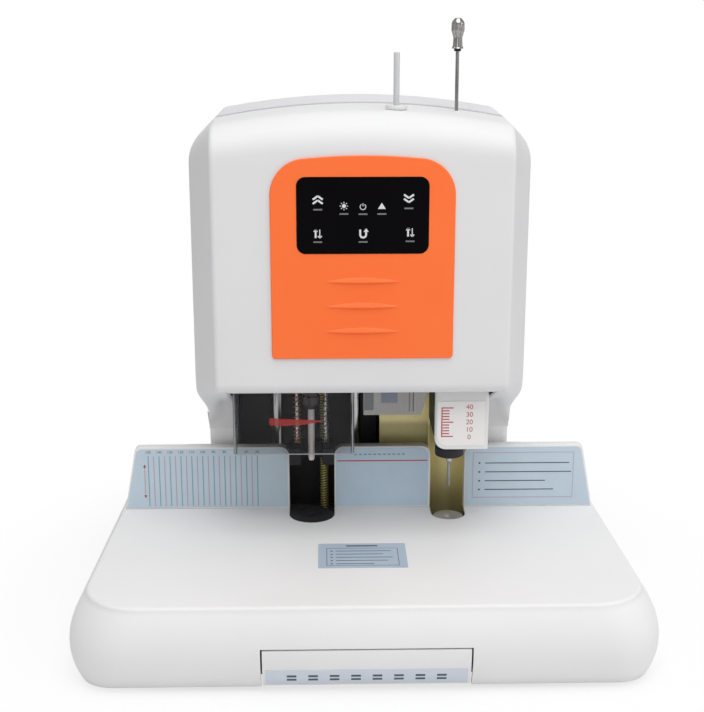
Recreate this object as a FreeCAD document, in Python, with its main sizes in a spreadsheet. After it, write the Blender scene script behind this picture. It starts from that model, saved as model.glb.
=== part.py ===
import FreeCAD, Part
import math
import os
import re

import Sketcher

# Document riveting machine: a desk press that drills a stack of paper, cuts a
# plastic tube to length and melts it into a rivet through the hole.
# Origin: middle of the footprint on the table. +X right, +Y back, +Z up.

DOCUMENT = FreeCAD.newDocument("RivetingMachine")
SHEET = DOCUMENT.addObject("Spreadsheet::Sheet", "Sizes")
VECTOR = FreeCAD.Vector

# Driving dimensions, in millimetres.
SIZES = dict(
    # fits and cuts
    overrun=5.0,
    slip=0.05,
    rod_slip=0.1,
    seat_slip=0.02,
    air=1.0,
    # base
    foot_tall=4.0,
    foot_radius=13.0,
    foot_inset=52.0,
    base_plate_thick=3.0,
    base_plate_inset=36.0,
    base_plate_inset_deep=30.0,
    platen_level=72.0,
    cover_wall=3.0,
    base_half_wide=240.0,
    base_half_deep=206.0,
    base_back_tuck=13.0,
    base_bulge_level=32.0,
    base_bulge_radius=45.0,
    base_foot_tuck=10.5,
    base_foot_radius=28.0,
    bulge_rise=0.3,
    platen_tuck=13.4,
    platen_tuck_deep=10.0,
    platen_corner_radius=46.0,
    platen_edge_radius=3.0,
    column_half=121.0,
    column_front=22.0,
    column_back=150.0,
    # fence
    fence_front=10.0,
    fence_thick=10.0,
    fence_tall=60.0,
    fence_half_low=216.5,
    fence_half_high=205.5,
    fence_end_radius=5.0,
    fence_slot_radius=8.0,
    sheet_thick=0.4,
    sheet_rim=1.6,
    platen_sheet_left=-38.0,
    platen_sheet_right=37.0,
    platen_sheet_front=-124.0,
    platen_sheet_back=-74.0,
    # stations
    drill_x=-44.0,
    station_y=-5.0,
    rivet_x=81.0,
    feed_x=28.8,
    feed_y=-30.0,
    drill_slot_half=20.75,
    rivet_slot_half=15.75,
    # drawer
    drawer_half=82.0,
    drawer_low=5.5,
    drawer_high=40.0,
    drawer_gap=0.8,
    drawer_front_thick=14.0,
    drawer_back=58.0,
    drawer_wall=2.0,
    drawer_lift=1.0,
    drawer_slip=0.5,
    runner_thick=3.0,
    runner_tall=12.0,
    # beam under the platen
    beam_low=42.0,
    beam_thick=14.0,
    beam_front=-26.0,
    beam_back=62.0,
    scrap_hole_radius=4.0,
    pad_radius=19.0,
    pad_thick=6.0,
    pad_rim=1.3,
    pad_drop=0.5,
    die_radius=14.0,
    die_top_drop=2.5,
    die_heater_radius=15.0,
    die_heater_tall=4.0,
    die_dimple_radius=5.0,
    # frame
    cheek_gap_half=114.0,
    cheek_thick=4.0,
    cheek_foot_front=-30.0,
    column_plate_front=66.0,
    column_plate_back=148.0,
    cheek_front=-50.0,
    bridge_low=400.0,
    bridge_thick=6.0,
    bridge_back=112.0,
    cheek_radius=12.0,
    floor_low=204.0,
    floor_thick=4.0,
    floor_front=-46.5,
    floor_flange_tall=20.0,
    floor_back=42.0,
    floor_left=10.0,
    # posts and screws
    drill_post_left=-76.0,
    drill_post_right=-4.0,
    drill_post_y=40.0,
    drill_post_radius=5.5,
    rivet_post_left=60.0,
    rivet_post_right=100.0,
    rivet_post_y=54.0,
    rivet_post_radius=5.0,
    screw_radius=4.0,
    drill_screw_x=-32.5,
    drill_screw_y=34.0,
    rivet_screw_x=80.0,
    feed_motor_half=15.0,
    feed_motor_tall=24.0,
    # drill carriage
    carriage_left=-88.0,
    carriage_right=6.0,
    carriage_front=26.0,
    carriage_back=50.0,
    carriage_low=205.0,
    carriage_high=275.0,
    housing_radius=17.0,
    housing_low=200.0,
    housing_high=290.0,
    bearing_radius=8.0,
    bearing_tall=5.0,
    motor_x=-88.0,
    motor_radius=18.0,
    motor_low=215.0,
    motor_plate_thick=6.0,
    motor_shaft_radius=3.0,
    nut_radius=7.0,
    nut_tall=10.0,
    pulley_radius=9.0,
    pulley_low=292.0,
    pulley_tall=10.0,
    belt_thick=1.5,
    belt_inset=1.5,
    spindle_radius=4.0,
    chuck_radius=8.0,
    chuck_low=174.0,
    chuck_nose=5.0,
    chuck_nose_radius=4.8,
    bit_radius=3.0,
    bit_bore_radius=2.2,
    bit_tip=125.0,
    bit_grip=8.0,
    # press foot
    presser_low=125.0,
    presser_tall=15.0,
    presser_half=20.0,
    presser_front=-20.0,
    presser_back=12.0,
    presser_fork_half=9.5,
    presser_rod_x=12.7,
    presser_rod_radius=1.5,
    presser_rod_top=212.0,
    spring_radius=2.8,
    spring_wire=0.8,
    spring_bend=1.2,
    # rivet ram
    slide_left=50.0,
    slide_right=108.0,
    slide_front=45.0,
    slide_back=63.0,
    slide_low=296.0,
    slide_high=330.0,
    arm_half=10.5,
    arm_low=300.0,
    arm_high=320.0,
    arm_nose=12.0,
    ram_radius=8.0,
    ram_top=324.0,
    ram_tip_radius=3.0,
    ram_tip=123.0,
    collar_radius=13.0,
    collar_low=129.0,
    collar_high=150.0,
    ram_bush_radius=11.0,
    ram_bush_low=198.0,
    ram_bush_high=214.0,
    needle_radius=1.5,
    needle_tip=98.0,
    needle_top=486.0,
    knob_tall=27.0,
    knob_radius=5.5,
    knob_neck=2.6,
    # shroud
    shroud_left=64.0,
    shroud_right=111.0,
    shroud_front=-45.0,
    shroud_back=14.0,
    shroud_low=148.0,
    shroud_radius=10.0,
    shroud_wall=2.5,
    sticker_margin=1.5,
    # tube feed and cutter
    tube_radius=2.5,
    tube_bore_radius=1.6,
    tube_low=190.0,
    tube_high=486.0,
    tube_guide_radius=4.5,
    tube_guide_high=432.0,
    funnel_radius=9.0,
    funnel_tall=3.0,
    funnel_lift=1.0,
    funnel_lip=1.0,
    top_bush_radius=4.0,
    top_bush_tall=7.0,
    cutter_left=2.0,
    cutter_right=60.0,
    cutter_slant=8.0,
    cutter_front=-39.0,
    cutter_back=-20.0,
    cutter_low=178.0,
    blade_half=6.0,
    blade_low=187.5,
    blade_thick=1.5,
    blade_back=-8.0,
    blade_gap=0.3,
    solenoid_half=12.0,
    solenoid_front=2.0,
    solenoid_back=30.0,
    plunger_radius=3.0,
    plunger_back=18.0,
    # sheets behind the slots
    backplate_left=19.0,
    backplate_y=31.0,
    backplate_thick=1.5,
    trough_y=24.0,
    trough_radius=15.8,
    shield_left=-112.0,
    shield_right=17.0,
    shield_y=60.0,
    # guard
    guard_left=-112.0,
    guard_right=-6.0,
    guard_low=143.0,
    guard_high=220.0,
    guard_thick=2.5,
    guard_back=10.0,
    # head
    head_front=-70.0,
    head_seam=20.0,
    seam_gap=0.4,
    head_back=165.0,
    head_front_half=123.5,
    head_half=148.0,
    head_flare_y=5.0,
    head_taper_y=70.0,
    head_back_half=138.0,
    crease_radius=5.0,
    flare_radius=40.0,
    head_back_radius=35.0,
    head_low=190.0,
    lip_low=207.0,
    lip_radius=10.0,
    head_front_top=440.0,
    head_seam_top=441.6,
    head_top_radius=31.0,
    rear_step=1.2,
    head_ridge_y=70.0,
    head_ridge_top=447.0,
    head_back_top=428.0,
    head_crown_radius=640.0,
    head_ridge_radius=120.0,
    crease_inset_share=0.8,
    corbel_low=170.0,
    corbel_half=139.5,
    corbel_round=16.0,
    corbel_in=112.5,
    corner_in=40.5,
    corner_drop=40.5,
    corner_round=36.0,
    # neck
    neck_half=138.0,
    neck_front=24.0,
    neck_back=155.0,
    neck_mid_level=130.0,
    neck_flare_level=168.0,
    neck_flare=1.5,
    neck_top_flare=9.0,
    neck_corner=14.0,
    neck_back_share=0.8,
    neck_open_left=-112.0,
    neck_open_right=102.0,
    # front panel
    panel_half=75.5,
    panel_low=238.0,
    panel_high=407.0,
    panel_thick=2.0,
    panel_corner=30.0,
    panel_foot_corner=3.0,
    rib_half=31.0,
    rib_half_tall=2.4,
    rib_stand=1.2,
    rib_radius=124.0,
    rib_low=262.3,
    rib_pitch=21.1,
    window_half=54.0,
    window_low=327.0,
    window_high=390.0,
    window_corner=7.5,
    window_stand=0.5,
    board_thick=1.6,
    board_gap=2.0,
    boss_radius=3.0,
    # mains parts
    transformer_left=-70.0,
    transformer_right=-6.0,
    transformer_front=74.0,
    transformer_back=136.0,
    transformer_high=62.0,
    power_board_left=10.0,
    power_board_right=96.0,
    power_board_level=15.0,
    standoff_inset=6.0,
    standoff_radius=3.0,
    inlet_x=60.0,
    inlet_level=104.0,
    inlet_half=14.0,
    inlet_half_tall=24.0,
    inlet_flange=3.0,
    inlet_flange_thick=1.6,
    inlet_deep=24.0,
    inlet_socket_half=11.0,
    inlet_socket_tall=14.0,
    inlet_socket_deep=16.0,
    rocker_half=6.5,
    rocker_half_tall=9.0,
    rocker_deep=10.0,
    rocker_gap=0.4,
    rocker_swing=2.4,
    rocker_stand=1.5,
    screw_head_radius=2.8,
    screw_head_tall=1.6,
    guard_screw_in=14.0,
    guard_screw_z=213.0,
)

SPRING_CURLS = 15
CURL_POINTS = 40
EDGE_STEPS = 3
RIB_COUNT = 3
KNOB_RING_SHARES = (0.1, 0.2, 0.32, 0.55, 0.8, 0.92)
KNOB_WIDTH_SHARES = (0.75, 0.55, 0.95, 1.0, 0.7, 0.45)

NODES = []


def fill_sheet():
    """Write every driving dimension into the sheet and name its cell."""
    for row, (alias, size) in enumerate(SIZES.items(), start=1):
        SHEET.set("A%d" % row, alias)
        SHEET.set("B%d" % row, str(size))
        SHEET.setAlias("B%d" % row, alias)
    DOCUMENT.recompute()


def formula(text):
    """Turn the size names in a formula into cells of the sheet."""
    return re.sub(r"[a-z]\w*", lambda word: ("Sizes." if word.group() in SIZES else "") + word.group(), text)


def value(text):
    """The number that a formula gives now."""
    return float(SHEET.evalExpression(formula(text)))


def bind(piece, **formulas):
    """Bind properties of a piece to formulas."""
    for name, text in formulas.items():
        piece.setExpression(name, formula(text))
    return piece


def place(piece, x="0", y="0", z="0"):
    """Bind the position of a piece to formulas."""
    for axis, text in (("x", x), ("y", y), ("z", z)):
        piece.setExpression("Placement.Base." + axis, formula(text))
    return piece


def block(label, x, y, z):
    """A rectangular block between two formulas on each axis."""
    piece = DOCUMENT.addObject("Part::Box", label)
    for name, (low, high) in (("Length", x), ("Width", y), ("Height", z)):
        piece.setExpression(name, formula("(%s) - (%s)" % (high, low)))
    return place(piece, x[0], y[0], z[0])


def rod(label, x, y, z, radius):
    """An upright cylinder."""
    piece = bind(DOCUMENT.addObject("Part::Cylinder", label), Radius=radius,
                 Height="(%s) - (%s)" % (z[1], z[0]))
    return place(piece, x, y, z[0])


def rod_back(label, x, y, z, radius):
    """A cylinder that lies along +Y, between the two formulas of y."""
    piece = bind(DOCUMENT.addObject("Part::Cylinder", label), Radius=radius,
                 Height="(%s) - (%s)" % (y[1], y[0]))
    piece.Placement.Rotation = FreeCAD.Rotation(VECTOR(1, 0, 0), -90)
    return place(piece, x, y[0], z)


def fuse(label, *pieces):
    piece = DOCUMENT.addObject("Part::MultiFuse", label)
    piece.Shapes = list(pieces)
    piece.Refine = True
    return piece


def common(label, *pieces):
    piece = DOCUMENT.addObject("Part::MultiCommon", label)
    piece.Shapes = list(pieces)
    return piece


def cut(label, base, *tools):
    piece = DOCUMENT.addObject("Part::Cut", label)
    piece.Base = base
    piece.Tool = tools[0] if len(tools) == 1 else fuse(label + "_tools", *tools)
    return piece


def group(label, *pieces):
    """Separate solids kept together."""
    piece = DOCUMENT.addObject("Part::Compound", label)
    piece.Links = list(pieces)
    return piece


def node(name, piece):
    """Give a finished sub-part its name."""
    piece.Label = name
    NODES.append(piece)
    return piece


def body_of(label):
    return DOCUMENT.addObject("PartDesign::Body", label)


def new_sketch(body, plane, offset):
    """A sketch on an origin plane of its body, moved along the plane's normal."""
    drawing = body.newObject("Sketcher::SketchObject", body.Name + "_sketch")
    support = [item for item in body.Origin.OriginFeatures if item.Role == plane][0]
    drawing.AttachmentSupport = [(support, "")]
    drawing.MapMode = "FlatFace"
    drawing.setExpression("AttachmentOffset.Base.z", formula(offset))
    return drawing


def fix_point(drawing, geometry, end, x, y):
    """Hold a point of the sketch at two formulas from the origin."""
    for kind, text in (("DistanceX", x), ("DistanceY", y)):
        index = drawing.addConstraint(Sketcher.Constraint(kind, -1, 1, geometry, end, value(text)))
        drawing.setExpression("Constraints[%d]" % index, formula(text))


def add_circle(drawing, x, y, radius):
    centre = VECTOR(value(x), value(y), 0)
    circle = drawing.addGeometry(Part.Circle(centre, VECTOR(0, 0, 1), value(radius)), False)
    fix_point(drawing, circle, 3, x, y)
    index = drawing.addConstraint(Sketcher.Constraint("Radius", circle, value(radius)))
    drawing.setExpression("Constraints[%d]" % index, formula(radius))


def corner_arc(before, corner, after, radius):
    """Ends, centre and turn of the arc that rounds a corner."""
    back = (before - corner).normalize()
    ahead = (after - corner).normalize()
    half = math.acos(max(-1.0, min(1.0, back.dot(ahead)))) / 2
    reach = radius / math.tan(half)
    centre = corner + (back + ahead).normalize() * (radius / math.sin(half))
    left_turn = (ahead.cross(back)).z > 0
    return corner + back * reach, corner + ahead * reach, centre, left_turn


def add_outline(drawing, corners):
    """A closed outline of straight runs; a corner with a third formula is rounded to it."""
    spots = [VECTOR(value(corner[0]), value(corner[1]), 0) for corner in corners]
    count = len(corners)
    arcs = {}
    for index, corner in enumerate(corners):
        if len(corner) > 2:
            arcs[index] = corner_arc(spots[index - 1], spots[index], spots[(index + 1) % count],
                                     value(corner[2]))
    lines = []
    for index in range(count):
        following = (index + 1) % count
        start = arcs[index][1] if index in arcs else spots[index]
        end = arcs[following][0] if following in arcs else spots[following]
        lines.append(drawing.addGeometry(Part.LineSegment(start, end), False))
    for index, corner in enumerate(corners):
        before, after = lines[index - 1], lines[index]
        if index not in arcs:
            drawing.addConstraint(Sketcher.Constraint("Coincident", before, 2, after, 1))
            fix_point(drawing, after, 1, corner[0], corner[1])
            continue
        first, last, centre, left_turn = arcs[index]
        low, high = (first, last) if left_turn else (last, first)
        angles = [math.atan2(spot.y - centre.y, spot.x - centre.x) for spot in (low, high)]
        circle = Part.Circle(centre, VECTOR(0, 0, 1), value(corner[2]))
        arc = drawing.addGeometry(Part.ArcOfCircle(circle, angles[0], angles[1]), False)
        point = drawing.addGeometry(Part.Point(spots[index]), True)
        near, far = (1, 2) if left_turn else (2, 1)
        drawing.addConstraint([
            Sketcher.Constraint("Tangent", before, 2, arc, near),
            Sketcher.Constraint("Tangent", arc, far, after, 1),
            Sketcher.Constraint("PointOnObject", point, 1, before),
            Sketcher.Constraint("PointOnObject", point, 1, after),
        ])
        fix_point(drawing, point, 1, corner[0], corner[1])
        radius = drawing.addConstraint(Sketcher.Constraint("Radius", arc, value(corner[2])))
        drawing.setExpression("Constraints[%d]" % radius, formula(corner[2]))


def plate(label, plane, corners, low, high, holes=()):
    """A body padded from an outline, between two levels along the plane's own axis."""
    body = body_of(label)
    backwards = plane == "XZ_Plane"
    drawing = new_sketch(body, plane, "-(%s)" % high if backwards else low)
    add_outline(drawing, corners)
    for x, y, radius in holes:
        add_circle(drawing, x, y, radius)
    pad = body.newObject("PartDesign::Pad", label + "_pad")
    pad.Profile = drawing
    bind(pad, Length="(%s) - (%s)" % (high, low))
    return body


def turned(label, profile, x="0", y="0"):
    """A body turned about an upright axis from a half outline of radius and level."""
    body = body_of(label)
    drawing = new_sketch(body, "XZ_Plane", "0")
    add_outline(drawing, profile)
    turn = body.newObject("PartDesign::Revolution", label + "_turn")
    turn.Profile = drawing
    turn.ReferenceAxis = (drawing, ["V_Axis"])
    turn.Angle = 360
    return place(body, x, y)


def rectangle(left, right, low, high, *radius):
    """Corners of a rectangle, all rounded alike when a radius is given."""
    corners = ((left, low), (right, low), (right, high), (left, high))
    return [corner + radius for corner in corners]


def loft(body, kind, sections, plane="XY_Plane"):
    """A smooth skin through outlines at rising levels."""
    drawings = []
    for level, corners in sections:
        drawing = new_sketch(body, plane, level)
        add_outline(drawing, corners)
        drawings.append(drawing)
    skin = body.newObject(kind, body.Name + "_loft")
    skin.Profile = drawings[0]
    skin.Sections = drawings[1:]
    return skin


def base_outline(tuck, tuck_deep, radius, inset):
    """Rounded outline of the base, a little narrower at the back, drawn in from its widest size."""
    wide = "(base_half_wide - %s - (%s))" % (tuck, inset)
    deep = "(base_half_deep - %s - (%s))" % (tuck_deep, inset)
    back = "(%s - base_back_tuck)" % wide
    corner = "%s - (%s)" % (radius, inset)
    return [("-" + wide, "-" + deep, corner), (wide, "-" + deep, corner),
            (back, deep, corner), ("-" + back, deep, corner)]


def base_sections(inset):
    """Level and outline of the bulging base cover, drawn in by a wall."""
    rows = (
        ("foot_tall", "base_foot_tuck", "base_foot_tuck", "base_foot_radius"),
        ("base_bulge_level", "bulge_rise", "bulge_rise", "base_bulge_radius"),
        ("platen_level - platen_edge_radius", "platen_tuck", "platen_tuck_deep", "platen_corner_radius"),
    )
    return [(row[0], base_outline(row[1], row[2], row[3], inset)) for row in rows]


def edge_sections():
    """Outlines that round the platen's edge in flat steps of a quarter turn."""
    sections = []
    for step in range(EDGE_STEPS + 1):
        angle = step * math.pi / 2 / EDGE_STEPS
        level = "platen_level - platen_edge_radius * %.6f" % (1 - math.sin(angle))
        inset = "platen_edge_radius * %.6f" % (1 - math.cos(angle))
        sections.append((level, base_outline("platen_tuck", "platen_tuck_deep", "platen_corner_radius", inset)))
    return sections


def notch(label, x, half):
    """Cut of one working station: round in front, straight back into the column opening."""
    level = ("platen_level - cover_wall - overrun", "platen_level + overrun")
    round_end = rod(label + "_round", x, "station_y", level, half)
    run = block(label + "_run", ("%s - %s" % (x, half), "%s + %s" % (x, half)),
                ("station_y", "column_front + overrun"), level)
    return fuse(label, round_end, run)


def build_base_cover():
    body = body_of("base_shell")
    loft(body, "PartDesign::AdditiveLoft", base_sections("0"))
    loft(body, "PartDesign::AdditiveLoft", edge_sections()).Ruled = True
    hollow = loft(body, "PartDesign::SubtractiveLoft", base_sections("cover_wall"))
    body.Tip = hollow
    column = block("column_opening", ("-column_half", "column_half"), ("column_front", "column_back"),
                   ("platen_level - cover_wall - overrun", "platen_level + overrun"))
    drawer = block("drawer_opening", ("-drawer_half - drawer_gap", "drawer_half + drawer_gap"),
                   ("-base_half_deep - overrun", "base_plate_inset_deep - base_half_deep"),
                   ("foot_tall - overrun", "drawer_high + drawer_gap"))
    notches = [notch("drill_notch", "drill_x", "drill_slot_half"),
               notch("rivet_notch", "rivet_x", "rivet_slot_half")]
    return node("base_top_cover", cut("base_cover_cut", body, column, drawer, *notches))


def build_base_plate():
    wide, deep = "(base_half_wide - base_plate_inset)", "(base_half_deep - base_plate_inset_deep)"
    node("base_plate", plate("base_plate_body", "XY_Plane", rectangle(
        "-" + wide, wide, "-" + deep, deep, "platen_corner_radius / 2"),
        "foot_tall", "foot_tall + base_plate_thick"))
    feet = []
    for side_x in ("-1", "1"):
        for side_y in ("-1", "1"):
            feet.append(rod("foot", side_x + " * (base_half_wide - foot_inset)",
                            side_y + " * (base_half_deep - foot_inset)", ("0", "foot_tall"), "foot_radius"))
    node("rubber_feet", group("feet_group", *feet))
    floor = "foot_tall + base_plate_thick"
    runners = []
    for side in ("-1", "1"):
        middle = side + " * (drawer_half - drawer_wall + drawer_slip + runner_thick / 2)"
        runners.append(block("runner", (middle + " - runner_thick / 2", middle + " + runner_thick / 2"),
                             ("-" + deep, "drawer_back"), (floor, floor + " + runner_tall")))
    node("drawer_runners", group("runner_group", *runners))


def build_drawer():
    """Open tray with a thicker front that is cut from the base's own curved form."""
    low = "foot_tall + base_plate_thick + drawer_lift"
    side = "drawer_half - drawer_wall"
    front = "-base_half_deep + drawer_front_thick"
    tray = block("tray", ("-" + side.replace(" - ", " + "), side), (front, "drawer_back"),
                 (low, "drawer_high - drawer_wall"))
    inside = "drawer_half - 2 * drawer_wall"
    well = block("tray_well", ("-drawer_half + 2 * drawer_wall", inside),
                 (front + " + drawer_wall", "drawer_back - drawer_wall"),
                 (low + " + drawer_wall", "drawer_high + overrun"))
    form = body_of("drawer_base_form")
    loft(form, "PartDesign::AdditiveLoft", base_sections("0"))
    slab = block("drawer_slab", ("-drawer_half", "drawer_half"), ("-base_half_deep - overrun", front),
                 ("drawer_low", "drawer_high"))
    face = common("drawer_face", form, slab)
    node("scrap_drawer", cut("drawer_cut", fuse("drawer_solid", tray, face), well))


def build_fence():
    """Three panels of the upright wall that the paper is pushed against, with a printed sheet on each."""
    low, high = "platen_level", "platen_level + fence_tall"
    back = "fence_front + fence_thick"
    drill = ("drill_x - drill_slot_half", "drill_x + drill_slot_half")
    rivet = ("rivet_x - rivet_slot_half", "rivet_x + rivet_slot_half")
    outlines = (
        (("-fence_half_low", low), (drill[0], low), (drill[0], high, "fence_slot_radius"),
         ("-fence_half_high", high, "fence_end_radius")),
        ((drill[1], low), (rivet[0], low), (rivet[0], high, "fence_slot_radius"),
         (drill[1], high, "fence_slot_radius")),
        ((rivet[1], low), ("fence_half_low", low), ("fence_half_high", high, "fence_end_radius"),
         (rivet[1], high, "fence_slot_radius")),
    )
    panels, sheets = [], []
    for outline in outlines:
        panels.append(plate("fence_panel", "XZ_Plane", outline, "fence_front", back))
        middle = (value(outline[0][0]) + value(outline[1][0])) / 2
        drawn = []
        for corner in outline:
            across = corner[0] + (" + sheet_rim" if value(corner[0]) < middle else " - sheet_rim")
            level = corner[1] + (" + sheet_rim" if corner[1] == low else " - sheet_rim")
            drawn.append((across, level) + tuple(corner[2:]))
        sheets.append(plate("fence_sheet", "XZ_Plane", drawn, "fence_front - sheet_thick", "fence_front"))
    node("fence_panels", group("fence_group", *panels))
    return sheets


def build_beam_parts():
    top = "beam_low + beam_thick"
    node("die_beam", plate("die_beam_body", "XY_Plane", rectangle(
        "-cheek_gap_half", "cheek_gap_half", "beam_front", "beam_back"), "beam_low", top,
        holes=(("drill_x", "station_y", "scrap_hole_radius"),
               ("rivet_x", "station_y", "needle_radius + rod_slip"))))
    pad_top = "platen_level - pad_drop"
    node("drill_pad_holder", turned("pad_holder_body", (
        ("scrap_hole_radius", top), ("pad_radius + pad_rim", top), ("pad_radius + pad_rim", pad_top),
        ("pad_radius + seat_slip", pad_top), ("pad_radius + seat_slip", pad_top + " - pad_thick"),
        ("scrap_hole_radius", pad_top + " - pad_thick")), "drill_x", "station_y"))
    node("drill_pad", turned("pad_body", (
        ("bit_radius + rod_slip", pad_top + " - pad_thick"), ("pad_radius", pad_top + " - pad_thick"),
        ("pad_radius", pad_top), ("bit_radius + rod_slip", pad_top)), "drill_x", "station_y"))
    die_top = "platen_level - die_top_drop"
    heater_top = top + " + die_heater_tall"
    bore = "needle_radius + rod_slip"
    node("lower_die_heater", turned("heater_body", (
        (bore, top), ("die_heater_radius", top), ("die_heater_radius", heater_top), (bore, heater_top)),
        "rivet_x", "station_y"))
    node("lower_die", turned("die_body", (
        (bore, heater_top), ("die_radius", heater_top), ("die_radius", die_top, "die_top_drop / 2"),
        ("die_dimple_radius", die_top), ("die_dimple_radius / 2", die_top + " - die_top_drop / 2"),
        (bore, die_top + " - die_top_drop")), "rivet_x", "station_y"))


def build_frame():
    """Two steel cheeks that the beam, floor plate and bridge are screwed between."""
    floor = "foot_tall + base_plate_thick"
    beam_top = "beam_low + beam_thick"
    outline = (
        ("cheek_foot_front", floor), ("column_plate_back", floor), ("column_plate_back", "bridge_low"),
        ("cheek_front", "bridge_low"), ("cheek_front", "floor_low"),
        ("column_plate_front", "floor_low", "cheek_radius"),
        ("column_plate_front", beam_top, "cheek_radius"), ("cheek_foot_front", beam_top),
    )
    cheeks = [plate("cheek", "YZ_Plane", outline, low, high) for low, high in (
        ("-cheek_gap_half - cheek_thick", "-cheek_gap_half"),
        ("cheek_gap_half", "cheek_gap_half + cheek_thick"))]
    node("side_plates", group("cheek_group", *cheeks))
    bridge_half = "cheek_gap_half + cheek_thick"
    node("upper_bridge", plate("bridge_body", "XY_Plane", rectangle(
        "-" + bridge_half.replace("+", "-"), bridge_half, "cheek_front", "bridge_back"),
        "bridge_low", "bridge_low + bridge_thick",
        holes=(("feed_x", "feed_y", "tube_guide_radius + seat_slip"),
               ("rivet_x", "station_y", "ram_radius"),
               ("drill_screw_x", "drill_screw_y", "screw_radius + slip"),
               ("rivet_screw_x", "rivet_post_y", "screw_radius + slip"))))
    floor_top = "floor_low + floor_thick"
    flange_back = "floor_front + floor_thick"
    floor_plate = plate("floor_plate", "XY_Plane", (
        ("-cheek_gap_half", "floor_front"), ("cheek_gap_half", "floor_front"),
        ("cheek_gap_half", "floor_back"), ("floor_left", "floor_back"),
        ("floor_left", flange_back), ("-cheek_gap_half", flange_back)), "floor_low", floor_top,
        holes=(("feed_x", "feed_y", "tube_radius + rod_slip"),
               ("rivet_x", "station_y", "ram_bush_radius + seat_slip")))
    flange = block("floor_flange", ("-cheek_gap_half", "cheek_gap_half"), ("floor_front", flange_back),
                   ("floor_low", floor_top + " + floor_flange_tall"))
    node("head_floor_plate", fuse("floor_fuse", floor_plate, flange))
    posts = [rod("post", x, "drill_post_y", (beam_top, "bridge_low"), "drill_post_radius")
             for x in ("drill_post_left", "drill_post_right")]
    posts += [rod("post", x, "rivet_post_y", (beam_top, "bridge_low"), "rivet_post_radius")
              for x in ("rivet_post_left", "rivet_post_right")]
    node("guide_posts", group("post_group", *posts))


def build_feed_drives():
    bridge_top = "bridge_low + bridge_thick"
    bottom = "beam_low + beam_thick"
    top = bridge_top + " + feed_motor_tall / 2"
    motors = []
    for name, x, y in (("drill", "drill_screw_x", "drill_screw_y"), ("rivet", "rivet_screw_x", "rivet_post_y")):
        case = plate(name + "_motor_case", "XY_Plane", rectangle(
            x + " - feed_motor_half", x + " + feed_motor_half", y + " - feed_motor_half",
            y + " + feed_motor_half", "feed_motor_half / 4"), bridge_top, bridge_top + " + feed_motor_tall")
        shaft_hole = rod(name + "_shaft_hole", x, y, (bridge_top + " - overrun", top + " + air"),
                         "screw_radius + slip")
        motors.append(cut(name + "_feed_motor", case, shaft_hole))
        node(name + "_lead_screw", turned(name + "_screw_body", (
            ("0", bottom), ("screw_radius", bottom), ("screw_radius", top), ("0", top)), x, y))
    node("feed_motors", group("motor_group", *motors))


def build_slot_linings():
    bottom = "beam_low + beam_thick"
    outer = "trough_radius + backplate_thick"
    sheet = block("backplate_sheet", ("backplate_left", "rivet_x - trough_radius / 2"),
                  ("backplate_y", "backplate_y + backplate_thick"), (bottom, "floor_low"))
    tube = cut("trough_ring", rod("trough_outer", "rivet_x", "trough_y", (bottom, "floor_low"), outer),
               rod("trough_inner", "rivet_x", "trough_y",
                   (bottom + " - overrun", "floor_low + overrun"), "trough_radius"))
    half = common("trough_half", tube, block("trough_keep", (
        "rivet_x - %s - overrun" % outer, "rivet_x + %s + overrun" % outer),
        ("trough_y", "trough_y + 2 * trough_radius"), (bottom, "floor_low")))
    trim = cut("backplate_trim", sheet, rod("trough_clear", "rivet_x", "trough_y", (
        bottom + " - overrun", "floor_low + overrun"), "trough_radius"))
    node("rivet_backplate", fuse("backplate_fuse", trim, half))
    node("drill_back_shield", block("shield", ("shield_left", "shield_right"),
                                    ("shield_y", "beam_back"), (bottom, "bridge_low")))


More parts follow.
